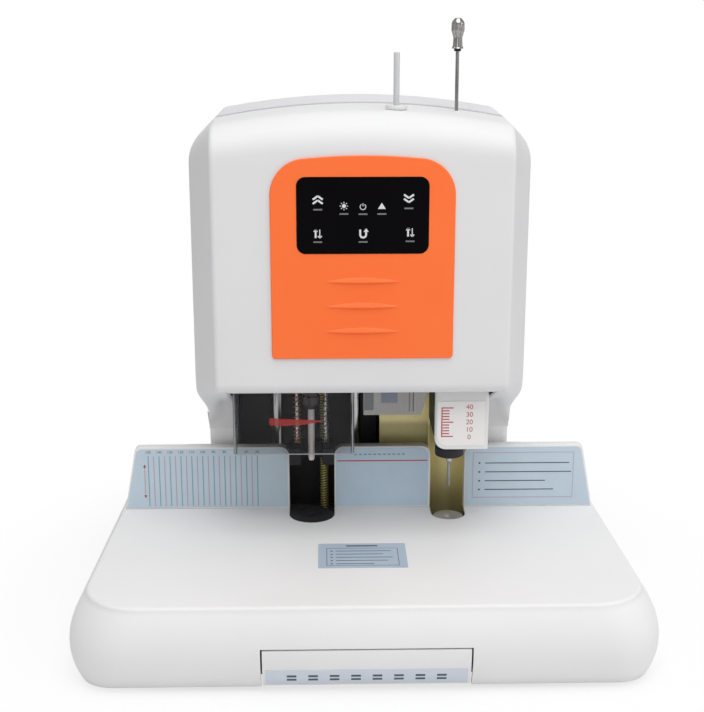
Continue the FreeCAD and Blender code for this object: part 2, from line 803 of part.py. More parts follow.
def build_drill_unit():
    """Sliding head of the drill: carriage, motor, belt, spindle, hollow bit and press foot."""
    block_piece = block("carriage_block", ("carriage_left", "carriage_right"),
                        ("carriage_front", "carriage_back"), ("carriage_low", "carriage_high"))
    web = block("carriage_web", ("drill_x - housing_radius", "drill_x + housing_radius"),
                ("station_y", "carriage_front"), ("carriage_low", "carriage_high"))
    housing = rod("spindle_housing", "drill_x", "station_y", ("housing_low", "housing_high"), "housing_radius")
    motor_top = "carriage_high + motor_plate_thick"
    arm = block("motor_plate", ("motor_x - motor_radius", "drill_x"),
                ("station_y - motor_radius", "station_y + motor_radius"), ("carriage_high", motor_top))
    through = ("housing_low - overrun", "housing_high + overrun")
    bores = [rod("post_bore", x, "drill_post_y", through, "drill_post_radius + slip")
             for x in ("drill_post_left", "drill_post_right")]
    bores.append(rod("screw_bore", "drill_screw_x", "drill_screw_y", through, "screw_radius + air"))
    bores.append(rod("bearing_bore", "drill_x", "station_y", through, "bearing_radius + seat_slip"))
    bores.append(rod("shaft_bore", "motor_x", "station_y", through, "motor_shaft_radius + air"))
    for side in ("-1", "1"):
        bores.append(rod("rod_bore", "drill_x + %s * presser_rod_x" % side, "station_y", through,
                         "presser_rod_radius + rod_slip"))
    node("drill_carriage", cut("carriage_cut", fuse("carriage_solid", block_piece, web, housing, arm), *bores))
    node("drill_lead_nut", turned("drill_nut_body", (
        ("screw_radius + slip", "carriage_high"), ("nut_radius", "carriage_high"),
        ("nut_radius", "carriage_high + nut_tall"), ("screw_radius + slip", "carriage_high + nut_tall")),
        "drill_screw_x", "drill_screw_y"))
    bearings = []
    for low in ("housing_low + bearing_tall", "housing_high - 2 * bearing_tall"):
        bearings.append(turned("bearing", (
            ("spindle_radius + slip", low), ("bearing_radius", low),
            ("bearing_radius", low + " + bearing_tall"),
            ("spindle_radius + slip", low + " + bearing_tall")), "drill_x", "station_y"))
    node("spindle_bearings", group("bearing_group", *bearings))
    pulley_top = "pulley_low + pulley_tall"
    node("drill_motor", turned("drill_motor_body", (
        ("0", "motor_low"), ("motor_radius", "motor_low", "motor_shaft_radius"),
        ("motor_radius", "carriage_high"), ("motor_shaft_radius + slip", "carriage_high"),
        ("motor_shaft_radius + slip", "carriage_high - motor_radius"),
        ("0", "carriage_high - motor_radius")), "motor_x", "station_y"))
    node("motor_pulley", turned("motor_pulley_body", (
        ("0", "carriage_high - motor_radius + air"),
        ("motor_shaft_radius", "carriage_high - motor_radius + air"),
        ("motor_shaft_radius", "pulley_low"), ("pulley_radius", "pulley_low"), ("pulley_radius", pulley_top),
        ("0", pulley_top)), "motor_x", "station_y"))
    node("spindle_pulley", turned("spindle_pulley_body", (
        ("spindle_radius + seat_slip", "pulley_low"), ("pulley_radius", "pulley_low"),
        ("pulley_radius", pulley_top), ("spindle_radius + seat_slip", pulley_top)), "drill_x", "station_y"))
    chuck_top = "housing_low - air"
    node("spindle", turned("spindle_body", (
        ("0", "chuck_low + bit_grip"), ("bit_radius + seat_slip", "chuck_low + bit_grip"),
        ("bit_radius + seat_slip", "chuck_low"), ("chuck_nose_radius", "chuck_low"),
        ("chuck_radius", "chuck_low + chuck_nose"), ("chuck_radius", chuck_top),
        ("spindle_radius", chuck_top), ("spindle_radius", pulley_top + " + air"), ("0", pulley_top + " + air")),
        "drill_x", "station_y"))
    node("drill_bit", turned("bit_body", (
        ("bit_bore_radius", "bit_tip"), ("bit_radius", "bit_tip + bit_radius"),
        ("bit_radius", "chuck_low + bit_grip"), ("bit_bore_radius", "chuck_low + bit_grip")),
        "drill_x", "station_y"))
    node("drill_belt", build_belt())


def build_belt():
    """Flat belt round two equal pulleys: a stadium ring."""
    low, high = "pulley_low + belt_inset", "pulley_low + pulley_tall - belt_inset"
    forms = []
    for name, radius, below, above in (
            ("outer", "pulley_radius + slip + belt_thick", low, high),
            ("inner", "pulley_radius + slip", low + " - overrun", high + " + overrun")):
        ends = [rod(name + "_end", x, "station_y", (below, above), radius) for x in ("motor_x", "drill_x")]
        run = block(name + "_run", ("motor_x", "drill_x"),
                    ("station_y - (%s)" % radius, "station_y + (%s)" % radius), (below, above))
        forms.append(fuse(name + "_loop", run, *ends))
    return cut("belt_cut", *forms)


def build_press_foot():
    top = "presser_low + presser_tall"
    left, right = "drill_x - presser_half", "drill_x + presser_half"
    outline = rectangle(left, right, "presser_front", "presser_back", "bit_radius")
    foot = plate("foot_plate", "XY_Plane", outline, "presser_low", top)
    fork = block("fork_gap", ("drill_x - presser_fork_half", "drill_x + presser_fork_half"),
                 ("presser_front - overrun", "station_y"), ("presser_low - overrun", top + " + overrun"))
    seat = rod("fork_round", "drill_x", "station_y", ("presser_low - overrun", top + " + overrun"),
               "presser_fork_half")
    node("press_foot", cut("foot_cut", foot, fork, seat))
    rods, springs = [], []
    for side in ("-1", "1"):
        x = "drill_x + %s * presser_rod_x" % side
        rods.append(rod("foot_rod", x, "station_y", (top, "presser_rod_top"), "presser_rod_radius"))
        wound = wound_spring("foot_spring_wire", value(top), value("housing_low"))
        springs.append(place(wound, x, "station_y"))
    node("press_foot_rods", group("foot_rods", *rods))
    node("press_foot_springs", group("foot_springs", *springs))


def arc_through(start, apex, end):
    """Arc from start to end that touches both lines to the apex."""
    middle = (start + end) * 0.5
    half = (end - start).Length / 2
    rise = (apex - middle).Length
    bow = half * math.tan(math.atan2(rise, half) / 2)
    return Part.Arc(start, middle + (apex - middle).normalize() * bow, end).toShape()


def biarc(start, heading, end, last_heading):
    """Two arcs that join two points and headings without a kink."""
    gap = end - start
    total = heading + last_heading
    spread = 2 * (1 - heading.dot(last_heading))
    lean = gap.dot(total)
    reach = (math.sqrt(lean * lean + spread * gap.dot(gap)) - lean) / spread
    first = start + heading * reach
    second = end - last_heading * reach
    joint = (first + second) * 0.5
    return [arc_through(start, first, joint), arc_through(joint, second, end)]


def wound_spring(label, low, high):
    """A compression spring of one unbroken wire, with short upright ends on its seats."""
    radius, wire, bend = value("spring_radius"), value("spring_wire"), value("spring_bend")
    rise = high - low - 2 * (wire + bend)
    stations = []
    quarters = SPRING_CURLS * 4
    for step in range(quarters + 1):
        angle = step * math.pi / 2
        level = low + wire + bend + rise * step / quarters
        spot = VECTOR(radius * math.cos(angle), radius * math.sin(angle), level)
        slope = rise / (SPRING_CURLS * 2 * math.pi)
        stations.append((spot, VECTOR(-radius * math.sin(angle), radius * math.cos(angle), slope).normalize()))
    up = VECTOR(0, 0, 1)
    first, last = stations[0], stations[-1]
    entry = VECTOR(first[0].x, first[0].y - bend, low + wire)
    leave = VECTOR(last[0].x, last[0].y + bend, high - wire)
    edges = [Part.LineSegment(entry - up * wire, entry).toShape()]
    edges += biarc(entry, up, first[0], first[1])
    for before, after in zip(stations, stations[1:]):
        edges += biarc(before[0], before[1], after[0], after[1])
    edges += biarc(last[0], last[1], leave, up)
    edges.append(Part.LineSegment(leave, leave + up * wire).toShape())
    section = Part.Wire(Part.Circle(entry - up * wire, up, wire / 2).toShape())
    path = Part.Wire(edges)
    report_gap(label, path, wire)
    piece = DOCUMENT.addObject("Part::Feature", label)
    piece.Shape = path.makePipeShell([section], True, False)
    return piece


def report_gap(label, path, wire):
    """Print the least gap of a wound wire to itself, measured on points a turn apart."""
    spots = path.discretize(SPRING_CURLS * CURL_POINTS)
    near, far = CURL_POINTS // 2, CURL_POINTS + CURL_POINTS // 2
    least = min((spots[one] - spots[two]).Length for one in range(len(spots))
                for two in range(one + near, min(one + far, len(spots))))
    print("%s: least gap to itself %.2f mm" % (label, least - wire))


def build_rivet_unit():
    """Sliding press of the rivet: carriage, hollow ram with its hot tip, and the locating rod."""
    block_piece = block("slide_block", ("slide_left", "slide_right"), ("slide_front", "slide_back"),
                        ("slide_low", "slide_high"))
    arm = block("slide_arm", ("rivet_x - arm_half", "rivet_x + arm_half"),
                ("station_y - arm_nose", "slide_front"), ("arm_low", "arm_high"))
    through = ("slide_low - overrun", "slide_high + overrun")
    bores = [rod("slide_bore", x, "rivet_post_y", through, "rivet_post_radius + slip")
             for x in ("rivet_post_left", "rivet_post_right")]
    bores.append(rod("slide_screw_bore", "rivet_screw_x", "rivet_post_y", through, "screw_radius + air"))
    bores.append(rod("ram_bore", "rivet_x", "station_y", through, "ram_radius + seat_slip"))
    node("rivet_carriage", cut("slide_cut", fuse("slide_solid", block_piece, arm), *bores))
    node("rivet_lead_nut", turned("rivet_nut_body", (
        ("screw_radius + slip", "slide_high"), ("nut_radius", "slide_high"),
        ("nut_radius", "slide_high + nut_tall"), ("screw_radius + slip", "slide_high + nut_tall")),
        "rivet_screw_x", "rivet_post_y"))
    bore = "needle_radius + rod_slip"
    node("rivet_ram", turned("ram_body", (
        (bore, "ram_tip"), ("ram_tip_radius", "ram_tip"), ("ram_tip_radius", "collar_high"),
        ("ram_radius", "collar_high"), ("ram_radius", "ram_top"), (bore, "ram_top")), "rivet_x", "station_y"))
    node("ram_collar", turned("collar_body", (
        ("ram_tip_radius + seat_slip", "collar_low"), ("collar_radius", "collar_low", "ram_tip_radius / 2"),
        ("collar_radius", "collar_high", "ram_tip_radius / 2"), ("ram_tip_radius + seat_slip", "collar_high")),
        "rivet_x", "station_y"))
    node("ram_guide_bush", turned("bush_body", (
        ("ram_radius + slip", "ram_bush_low"), ("ram_bush_radius", "ram_bush_low"),
        ("ram_bush_radius", "ram_bush_high"), ("ram_radius + slip", "ram_bush_high")), "rivet_x", "station_y"))
    node("locating_rod", turned("needle_body", (
        ("0", "needle_tip"), ("needle_radius / 2", "needle_tip"),
        ("needle_radius", "needle_tip + 2 * needle_radius"),
        ("needle_radius", "needle_top"), ("0", "needle_top")), "rivet_x", "station_y"))
    rings = [("0", "needle_top"), ("knob_neck", "needle_top")]
    for share, wide in zip(KNOB_RING_SHARES, KNOB_WIDTH_SHARES):
        rings.append(("knob_radius * %s" % wide, "needle_top + %s * knob_tall" % share))
    knob_top = "needle_top + knob_tall"
    rings += [("knob_neck / 2", knob_top), ("0", knob_top)]
    node("rod_knob", turned("knob_body", rings, "rivet_x", "station_y"))


def build_shroud():
    """White housing in front of the ram, open below and behind."""
    outer = plate("shroud_outer", "XZ_Plane", (
        ("shroud_left", "shroud_low", "shroud_radius"), ("shroud_right", "shroud_low", "cover_wall"),
        ("shroud_right", "floor_low"), ("shroud_left", "floor_low")), "shroud_front", "shroud_back")
    inner = block("shroud_inner", ("shroud_left + shroud_wall", "shroud_right - shroud_wall"),
                  ("shroud_front + shroud_wall", "shroud_back + overrun"),
                  ("shroud_low - overrun", "floor_low + overrun"))
    node("ram_shroud", cut("shroud_cut", outer, inner))
    return plate("shroud_sticker", "XZ_Plane", rectangle(
        "shroud_left + sticker_margin", "shroud_right - sticker_margin",
        "shroud_low + shroud_radius / 2", "floor_low - 2 * sticker_margin", "sticker_margin"),
        "shroud_front - sheet_thick", "shroud_front")


def build_cutter():
    """Guillotine for the plastic tube: block, blade and pull magnet."""
    high = "floor_low"
    body = plate("cutter_body", "XZ_Plane", (
        ("cutter_left", "cutter_low"), ("cutter_right - cutter_slant", "cutter_low"),
        ("cutter_right", high), ("cutter_left", high)), "cutter_front", "cutter_back")
    tube_hole = rod("cutter_hole", "feed_x", "feed_y", ("cutter_low - overrun", high + " + overrun"),
                    "tube_radius + rod_slip")
    slot = block("blade_slot", ("feed_x - blade_half - blade_gap", "feed_x + blade_half + blade_gap"),
                 ("feed_y - 2 * tube_radius - air", "cutter_back + overrun"),
                 ("blade_low - blade_gap", "blade_low + blade_thick + blade_gap"))
    node("cutter_block", cut("cutter_cut", body, tube_hole, slot))
    node("cutter_blade", plate("blade_body", "XY_Plane", (
        ("feed_x - blade_half", "feed_y + tube_radius + air"),
        ("feed_x + blade_half", "feed_y + 2 * tube_radius"),
        ("feed_x + blade_half", "blade_back"), ("feed_x - blade_half", "blade_back")),
        "blade_low", "blade_low + blade_thick"))
    middle = "blade_low + blade_thick / 2"
    case = block("solenoid_case", ("feed_x - solenoid_half", "feed_x + solenoid_half"),
                 ("solenoid_front", "solenoid_back"), (middle + " - solenoid_half", high))
    bore = rod_back("solenoid_bore", "feed_x", ("solenoid_front - overrun", "plunger_back + air"), middle,
                    "plunger_radius + slip")
    node("cutter_solenoid", cut("solenoid_cut", case, bore))
    plunger = rod_back("plunger", "feed_x", ("blade_back", "plunger_back"), middle, "plunger_radius")
    node("cutter_plunger", plunger)


def build_tube_feed():
    floor_top = "floor_low + floor_thick"
    bore = "tube_radius + rod_slip"
    node("tube_guide", turned("tube_guide_body", (
        (bore, floor_top), ("tube_guide_radius", floor_top), ("tube_guide_radius", "tube_guide_high"),
        (bore, "tube_guide_high")), "feed_x", "feed_y"))
    node("rivet_tube", turned("rivet_tube_body", (
        ("tube_bore_radius", "tube_low"), ("tube_radius", "tube_low"), ("tube_radius", "tube_high"),
        ("tube_bore_radius", "tube_high")), "feed_x", "feed_y"))


def head_form(label, inset, back, seam_top):
    """Head outline from three sides: plan, front and side, drawn in by a wall."""
    front = "head_front + (%s)" % inset
    half_front = "(head_front_half - (%s) * crease_inset_share)" % inset
    half = "(head_half - (%s))" % inset
    rear_half = "(head_back_half - (%s))" % inset
    rear = "head_back - (%s)" % inset
    plan = plate(label + "_plan", "XY_Plane", (
        ("-" + half_front, front, "crease_radius"), (half_front, front, "crease_radius"),
        (half, "head_flare_y", "flare_radius"), (half, "head_taper_y", "flare_radius"),
        (rear_half, rear, "head_back_radius - (%s)" % inset),
        ("-" + rear_half, rear, "head_back_radius - (%s)" % inset),
        ("-" + half, "head_taper_y", "flare_radius"), ("-" + half, "head_flare_y", "flare_radius")),
        "corbel_low - overrun", "head_ridge_top + overrun")
    top = "(head_ridge_top + overrun - (%s))" % inset
    foot_half = "(corbel_half - (%s))" % inset
    face = plate(label + "_face", "XZ_Plane", (
        ("-" + foot_half, "corbel_low - overrun"), (foot_half, "corbel_low - overrun"),
        (foot_half, "corbel_low"), (half, "head_low", "corbel_round"),
        (half, top + " - corner_drop - overrun", "corner_round"),
        (half + " - corner_in", top + " - overrun", "corner_round"),
        (half + " - corner_in", top), ("-" + half + " + corner_in", top),
        ("-" + half + " + corner_in", top + " - overrun", "corner_round"),
        ("-" + half, top + " - corner_drop - overrun", "corner_round"),
        ("-" + half, "head_low", "corbel_round"), ("-" + foot_half, "corbel_low")),
        "head_front - overrun", "head_back + overrun")
    if back:
        profile = (
            ("head_seam + seam_gap", "head_low"), (rear, "head_low"),
            (rear, "head_back_top - (%s)" % inset, "head_back_radius - (%s)" % inset),
            ("head_ridge_y", "head_ridge_top - (%s)" % inset, "head_ridge_radius"),
            ("head_seam + seam_gap", "%s - (%s)" % (seam_top, inset)))
    else:
        profile = (
            (front, "lip_low + (%s)" % inset, "lip_radius - (%s)" % inset),
            ("head_seam", "corbel_low + (%s)" % inset), ("head_seam", "%s - (%s)" % (seam_top, inset)),
            (front, "head_front_top - (%s)" % inset, "head_top_radius - 2 * (%s)" % inset))
    side = plate(label + "_side", "YZ_Plane", profile, "-head_half - overrun", "head_half + overrun")
    crown = rod_back(label + "_crown", "0", ("head_front - overrun", "head_back + overrun"),
                     ("%s - (%s) - head_crown_radius" % ("head_ridge_top" if back else seam_top, inset)),
                     "head_crown_radius")
    return common(label + "_form", plan, face, side, crown)


def build_head_covers():
    wall = "cover_wall"
    front_outer = head_form("front_outer", "0", False, "head_seam_top")
    front_inner = head_form("front_inner", wall, False, "head_seam_top")
    rear_outer = head_form("rear_outer", "0", True, "head_seam_top + rear_step")
    rear_inner = head_form("rear_inner", wall, True, "head_seam_top + rear_step")
    level = ("head_front_top - 4 * overrun", "head_seam_top + 2 * overrun")
    funnel_hole = rod("funnel_hole", "feed_x", "feed_y", level, "tube_guide_radius + seat_slip")
    rod_hole = rod("rod_hole", "rivet_x", "station_y", level, "top_bush_radius + seat_slip")
    window = block("window_hole", ("-window_half + 2 * sheet_rim", "window_half - 2 * sheet_rim"),
                   ("head_front - overrun", "head_front + cover_wall + overrun"),
                   ("window_low + 2 * sheet_rim", "window_high - 2 * sheet_rim"))
    mouth = block("mouth", ("-corbel_in", "corbel_in"), ("head_front + 2 * cover_wall", "head_seam + overrun"),
                  ("corbel_low - overrun", "lip_low + cover_wall + slip"))
    webs = []
    for low, high in (("-corbel_in - cover_wall", "-corbel_in"), ("corbel_in", "corbel_in + cover_wall")):
        webs.append(block("corbel_web", (low, high), ("head_front", "head_seam"),
                          ("corbel_low - overrun", "floor_low - air")))
    open_rear = block("seam_mouth", ("-head_half + cover_wall + overrun", "head_half - cover_wall - overrun"),
                      ("head_seam - overrun", "head_seam + 2 * overrun"), ("head_low - overrun", "floor_low"))
    shell = cut("front_cover_cut", front_outer, front_inner, funnel_hole, rod_hole, window, mouth)
    front = fuse("front_cover_fuse", shell, *[common("corbel_side", front_outer, web) for web in webs])
    rear = cut("rear_cover_cut", rear_outer, rear_inner, open_rear)
    node("head_front_cover", front)
    node("head_rear_cover", rear)


def build_neck():
    """Column cover between the platen and the head, flaring to meet the head."""
    body = body_of("neck_shell")
    runs = ((("platen_level", "0"), ("neck_mid_level", "0")),
            (("neck_mid_level", "0"), ("neck_flare_level", "neck_flare"), ("head_low", "neck_top_flare")))
    for kind, inset in (("PartDesign::AdditiveLoft", "0"), ("PartDesign::SubtractiveLoft", "cover_wall")):
        for rows in runs:
            sections = []
            for level, flare in rows:
                half = "(neck_half + %s - %s)" % (flare, inset)
                outline = rectangle("-" + half, half, "neck_front + " + inset,
                                    "neck_back + %s * neck_back_share - %s" % (flare, inset),
                                    "neck_corner - " + inset)
                sections.append((level, outline))
            skin = loft(body, kind, sections)
    body.Tip = skin
    opening = block("neck_opening", ("neck_open_left", "neck_open_right"),
                    ("neck_front - overrun", "neck_front + cover_wall + overrun"),
                    ("platen_level - overrun", "head_low + overrun"))
    inlet = block("inlet_hole", ("inlet_x - inlet_half", "inlet_x + inlet_half"),
                  ("neck_back - cover_wall - overrun", "neck_back + 2 * overrun"),
                  ("inlet_level - inlet_half_tall", "inlet_level + inlet_half_tall"))
    node("neck_cover", cut("neck_cut", body, opening, inlet))


def build_front_panel():
    """Orange fascia with three raised ribs, and the dark display window set in it."""
    back = "head_front"
    front = "head_front - panel_thick"
    fascia = plate("fascia", "XZ_Plane", (
        ("-panel_half", "panel_low", "panel_foot_corner"), ("panel_half", "panel_low", "panel_foot_corner"),
        ("panel_half", "panel_high", "panel_corner"), ("-panel_half", "panel_high", "panel_corner")),
        front, back)
    pocket = plate("window_pocket", "XZ_Plane", rectangle(
        "-window_half - seat_slip", "window_half + seat_slip", "window_low - seat_slip",
        "window_high + seat_slip", "window_corner"), front + " - overrun", back + " + overrun")
    ribs = []
    for index in range(RIB_COUNT):
        level = "rib_low + %d * rib_pitch" % index
        ribs.append(plate("rib", "XZ_Plane", (
            ("-rib_half", level), ("0", level + " - rib_half_tall", "rib_radius"), ("rib_half", level),
            ("0", level + " + rib_half_tall", "rib_radius")), front + " - rib_stand", front))
    node("front_panel", cut("fascia_cut", fuse("fascia_fuse", fascia, *ribs), pocket))
    node("display_window", plate("window_body", "XZ_Plane", rectangle(
        "-window_half", "window_half", "window_low", "window_high", "window_corner - seat_slip"),
        front + " - window_stand", back))
    board_front = "head_front + cover_wall + board_gap"
    board = block("board", ("-window_half - board_gap", "window_half + board_gap"),
                  (board_front, board_front + " + board_thick"),
                  ("window_low - board_gap", "window_high + board_gap"))
    bosses = []
    for x in ("-window_half", "window_half"):
        for z in ("window_low", "window_high"):
            bosses.append(rod_back("board_boss", x, ("head_front + cover_wall", board_front), z, "boss_radius"))
    node("control_board", fuse("board_fuse", board, *bosses))


def build_top_bushes():
    """Dished funnel where the tube goes in, and the small bush of the locating rod."""
    cover_top = "head_front_top"
    bore = "tube_radius + rod_slip"
    seat = cover_top + " + funnel_lift"
    funnel = turned("funnel_body", (
        (bore, "tube_guide_high"), ("tube_guide_radius", "tube_guide_high"), ("tube_guide_radius", seat),
        ("funnel_radius", seat), ("funnel_radius", seat + " + funnel_tall"),
        ("funnel_radius - funnel_lip", seat + " + funnel_tall"), (bore, seat + " + funnel_lip / 2")),
        "feed_x", "feed_y")
    rod_bore = "needle_radius + rod_slip"
    bush = turned("rod_bush_body", (
        (rod_bore, cover_top + " - 3 * cover_wall"), ("top_bush_radius", cover_top + " - 3 * cover_wall"),
        ("top_bush_radius", cover_top), (rod_bore, cover_top)), "rivet_x", "station_y")
    node("top_bushes", group("bush_group", funnel, bush))


def build_guard():
    """Smoky clear guard folded round the drill on three sides."""
    inner = "guard_thick"
    node("drill_guard", plate("guard_body", "XY_Plane", (
        ("guard_left", "guard_back"), ("guard_left", "floor_front + floor_thick"),
        ("guard_right", "floor_front + floor_thick"), ("guard_right", "guard_back"),
        ("guard_right - " + inner, "guard_back"),
        ("guard_right - " + inner, "floor_front + floor_thick + " + inner),
        ("guard_left + " + inner, "floor_front + floor_thick + " + inner),
        ("guard_left + " + inner, "guard_back")), "guard_low", "guard_high"))


def build_mains_parts():
    floor = "foot_tall + base_plate_thick"
    node("transformer", plate("transformer_body", "XY_Plane", rectangle(
        "transformer_left", "transformer_right", "transformer_front", "transformer_back", "cover_wall"),
        floor, "transformer_high"))
    board = block("power_board_sheet", ("power_board_left", "power_board_right"),
                  ("transformer_front", "transformer_back"),
                  ("power_board_level", "power_board_level + board_thick"))
    legs = []
    for x in ("power_board_left + standoff_inset", "power_board_right - standoff_inset"):
        for y in ("transformer_front + standoff_inset", "transformer_back - standoff_inset"):
            legs.append(rod("standoff", x, y, (floor, "power_board_level"), "standoff_radius"))
    node("power_board", fuse("power_board_fuse", board, *legs))
    face = "neck_back"
    flange = block("inlet_flange_plate",
                   ("inlet_x - inlet_half - inlet_flange", "inlet_x + inlet_half + inlet_flange"),
                   (face, face + " + inlet_flange_thick"),
                   ("inlet_level - inlet_half_tall - inlet_flange",
                    "inlet_level + inlet_half_tall + inlet_flange"))
    case = block("inlet_case", ("inlet_x - inlet_half + slip", "inlet_x + inlet_half - slip"),
                 (face + " - inlet_deep", face),
                 ("inlet_level - inlet_half_tall + slip", "inlet_level + inlet_half_tall - slip"))
    back = face + " + inlet_flange_thick"
    socket = block("inlet_socket", ("inlet_x - inlet_socket_half", "inlet_x + inlet_socket_half"),
                   (back + " - inlet_socket_deep", back + " + overrun"),
                   ("inlet_level - inlet_half_tall + inlet_flange",
                    "inlet_level - inlet_half_tall + inlet_flange + inlet_socket_tall"))
    rocker_level = "(inlet_level + inlet_half_tall - rocker_half_tall - inlet_flange)"
    rocker_well = block("rocker_well",
                        ("inlet_x - rocker_half_tall - rocker_gap", "inlet_x + rocker_half_tall + rocker_gap"),
                        (back + " - rocker_deep - rocker_swing", back + " + overrun"),
                        (rocker_level + " - rocker_half", rocker_level + " + rocker_half"))
    body = cut("inlet_cut", fuse("inlet_solid", flange, case), socket, rocker_well)
    pins = []
    for side in ("-1", "0", "1"):
        pins.append(block("inlet_pin", ("inlet_x + %s * inlet_socket_half / 2 - board_thick" % side,
                                        "inlet_x + %s * inlet_socket_half / 2 + board_thick" % side),
                          (back + " - inlet_socket_deep", back + " - board_thick"),
                          ("inlet_level - inlet_half_tall + 2 * inlet_flange",
                           "inlet_level - inlet_half_tall + 2 * inlet_flange + board_thick")))
    node("power_inlet", fuse("inlet_fuse", body, *pins))
    rocker = rod("rocker_round", "inlet_x", back + " - rocker_deep",
                 (rocker_level + " - rocker_half + rocker_gap", rocker_level + " + rocker_half - rocker_gap"),
                 "rocker_half_tall")
    trim = block("rocker_trim", ("inlet_x - rocker_half_tall", "inlet_x + rocker_half_tall"),
                 (back + " - rocker_deep + rocker_gap", back + " + rocker_stand"),
                 (rocker_level + " - rocker_half", rocker_level + " + rocker_half"))
    node("power_rocker", common("rocker_common", rocker, trim))


def build_screws():
    """Screws of the guard, on the front of the floor plate's flange."""
    screws = []
    for index, x in enumerate(("guard_left + guard_screw_in", "(guard_left + guard_right) / 2",
                               "guard_right - guard_screw_in")):
        head = rod_back("guard_screw_head_%d" % index, x, ("floor_front - screw_head_tall", "floor_front"),
                        "guard_screw_z", "screw_head_radius")
        screws.append(head)
    node("guard_screws", group("screw_group", *screws))


def build_printed_sheets(fence_sheets, shroud_sticker):
    """Thin printed films: fence scale, platen sticker and the scale on the shroud."""
    platen = block("platen_sheet", ("platen_sheet_left", "platen_sheet_right"),
                   ("platen_sheet_front", "platen_sheet_back"), ("platen_level", "platen_level + sheet_thick"))
    node("printed_sheets", group("sheet_group", platen, shroud_sticker, *fence_sheets))


def check_and_write():
    """Stop on any failed feature, then write each sub-part to its own file."""
    DOCUMENT.recompute()
    for item in DOCUMENT.Objects:
        if "Invalid" in item.State or "Error" in item.State:
            raise RuntimeError("failed feature: " + item.Label)
    os.makedirs("parts", exist_ok=True)
    for piece in NODES:
        shape = piece.Shape
        if shape.isNull() or not shape.isValid() or not shape.Solids:
            raise RuntimeError("bad shape: " + piece.Label)
        shape.exportStep("parts/%s.step" % piece.Label)
        print("%-20s solids %d volume %.0f" % (piece.Label, len(shape.Solids), shape.Volume))


fill_sheet()
build_base_cover()
build_base_plate()
build_drawer()
sheets = build_fence()
build_beam_parts()
build_frame()
build_feed_drives()
build_slot_linings()
build_drill_unit()
build_press_foot()
build_rivet_unit()
sticker = build_shroud()
build_cutter()
build_tube_feed()
build_head_covers()
build_neck()
build_front_panel()
build_top_bushes()
build_guard()
build_mains_parts()
build_screws()
build_printed_sheets(sheets, sticker)
check_and_write()
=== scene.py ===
import math

import bpy
import bmesh
import numpy as np
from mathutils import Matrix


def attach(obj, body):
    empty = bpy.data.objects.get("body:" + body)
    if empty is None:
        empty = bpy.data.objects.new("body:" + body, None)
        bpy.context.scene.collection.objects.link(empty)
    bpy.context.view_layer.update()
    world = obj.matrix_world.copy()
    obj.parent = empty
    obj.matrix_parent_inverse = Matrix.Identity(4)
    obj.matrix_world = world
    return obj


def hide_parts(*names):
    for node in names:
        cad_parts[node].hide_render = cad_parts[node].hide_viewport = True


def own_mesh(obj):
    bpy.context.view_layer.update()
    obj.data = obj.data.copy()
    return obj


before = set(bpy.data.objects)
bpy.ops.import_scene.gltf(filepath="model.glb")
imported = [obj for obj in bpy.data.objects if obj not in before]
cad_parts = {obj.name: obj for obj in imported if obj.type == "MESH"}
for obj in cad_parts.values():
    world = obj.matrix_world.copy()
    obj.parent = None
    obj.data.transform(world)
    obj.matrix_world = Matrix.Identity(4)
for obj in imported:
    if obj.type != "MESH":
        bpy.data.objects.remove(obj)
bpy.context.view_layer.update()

# Camera, lamps and table.
# The machine stands on a pale table under soft lamps, seen from a little above
# and just left of its middle, as in the photograph.

MM = 0.001

LENS, SENSOR_WIDE, CLIP_START = 65.73, 36.0, 0.05
CAMERA_PLACE, CAMERA_PITCH, CAMERA_YAW = (-0.0318, -1.119, 0.527), 74.7, -1.26
camera_data = bpy.data.cameras.new("camera")
camera_data.lens = LENS
camera_data.sensor_width = SENSOR_WIDE
camera_data.clip_start = CLIP_START
camera = bpy.data.objects.new("camera", camera_data)
camera.location = CAMERA_PLACE
camera.rotation_euler = (math.radians(CAMERA_PITCH), 0.0, math.radians(CAMERA_YAW))
bpy.context.collection.objects.link(camera)
bpy.context.scene.camera = camera
bpy.context.scene.view_settings.view_transform = "Standard"


def step(tree, kind, feeds=None, **settings):
    """Add one node: settings are its own properties, feeds give each input a socket or a plain value."""
    node = tree.nodes.new("ShaderNode" + kind)
    for name, setting in settings.items():
        setattr(node, name, setting)
    for socket, source in (feeds or {}).items():
        if isinstance(source, bpy.types.NodeSocket):
            tree.links.new(source, node.inputs[socket])
        else:
            node.inputs[socket].default_value = source
    return node


def tone(red, green, blue):
    """A colour written as seen on a screen, 0 to 255, turned into linear light with full opacity."""
    parts = np.array((red, green, blue)) / 255.0
    linear = np.where(parts <= 0.04045, parts / 12.92, ((parts + 0.055) / 1.055) ** 2.4)
    return (*linear.tolist(), 1.0)


def seen_directly(tree):
    """1 for rays that come straight from the eye or through clear plastic, 0 for the light that falls on
    things."""
    light_path = step(tree, "LightPath").outputs
    return step(tree, "Math", {0: light_path["Is Camera Ray"], 1: light_path["Is Transmission Ray"]},
                operation="MAXIMUM").outputs[0]


SKY_LIGHT = 0.47
sky = bpy.data.worlds.new("studio")
bpy.context.scene.world = sky
sky.use_nodes = True
sky.node_tree.nodes.clear()
sky_fill = step(sky.node_tree, "Background", {"Color": tone(254, 254, 254), "Strength": SKY_LIGHT})
sky_white = step(sky.node_tree, "Background", {"Color": (1.0, 1.0, 1.0, 1.0), "Strength": 1.0})
sky_mix = step(sky.node_tree, "MixShader", {0: seen_directly(sky.node_tree), 1: sky_fill.outputs[0],
                                            2: sky_white.outputs[0]})
step(sky.node_tree, "OutputWorld", {0: sky_mix.outputs[0]})


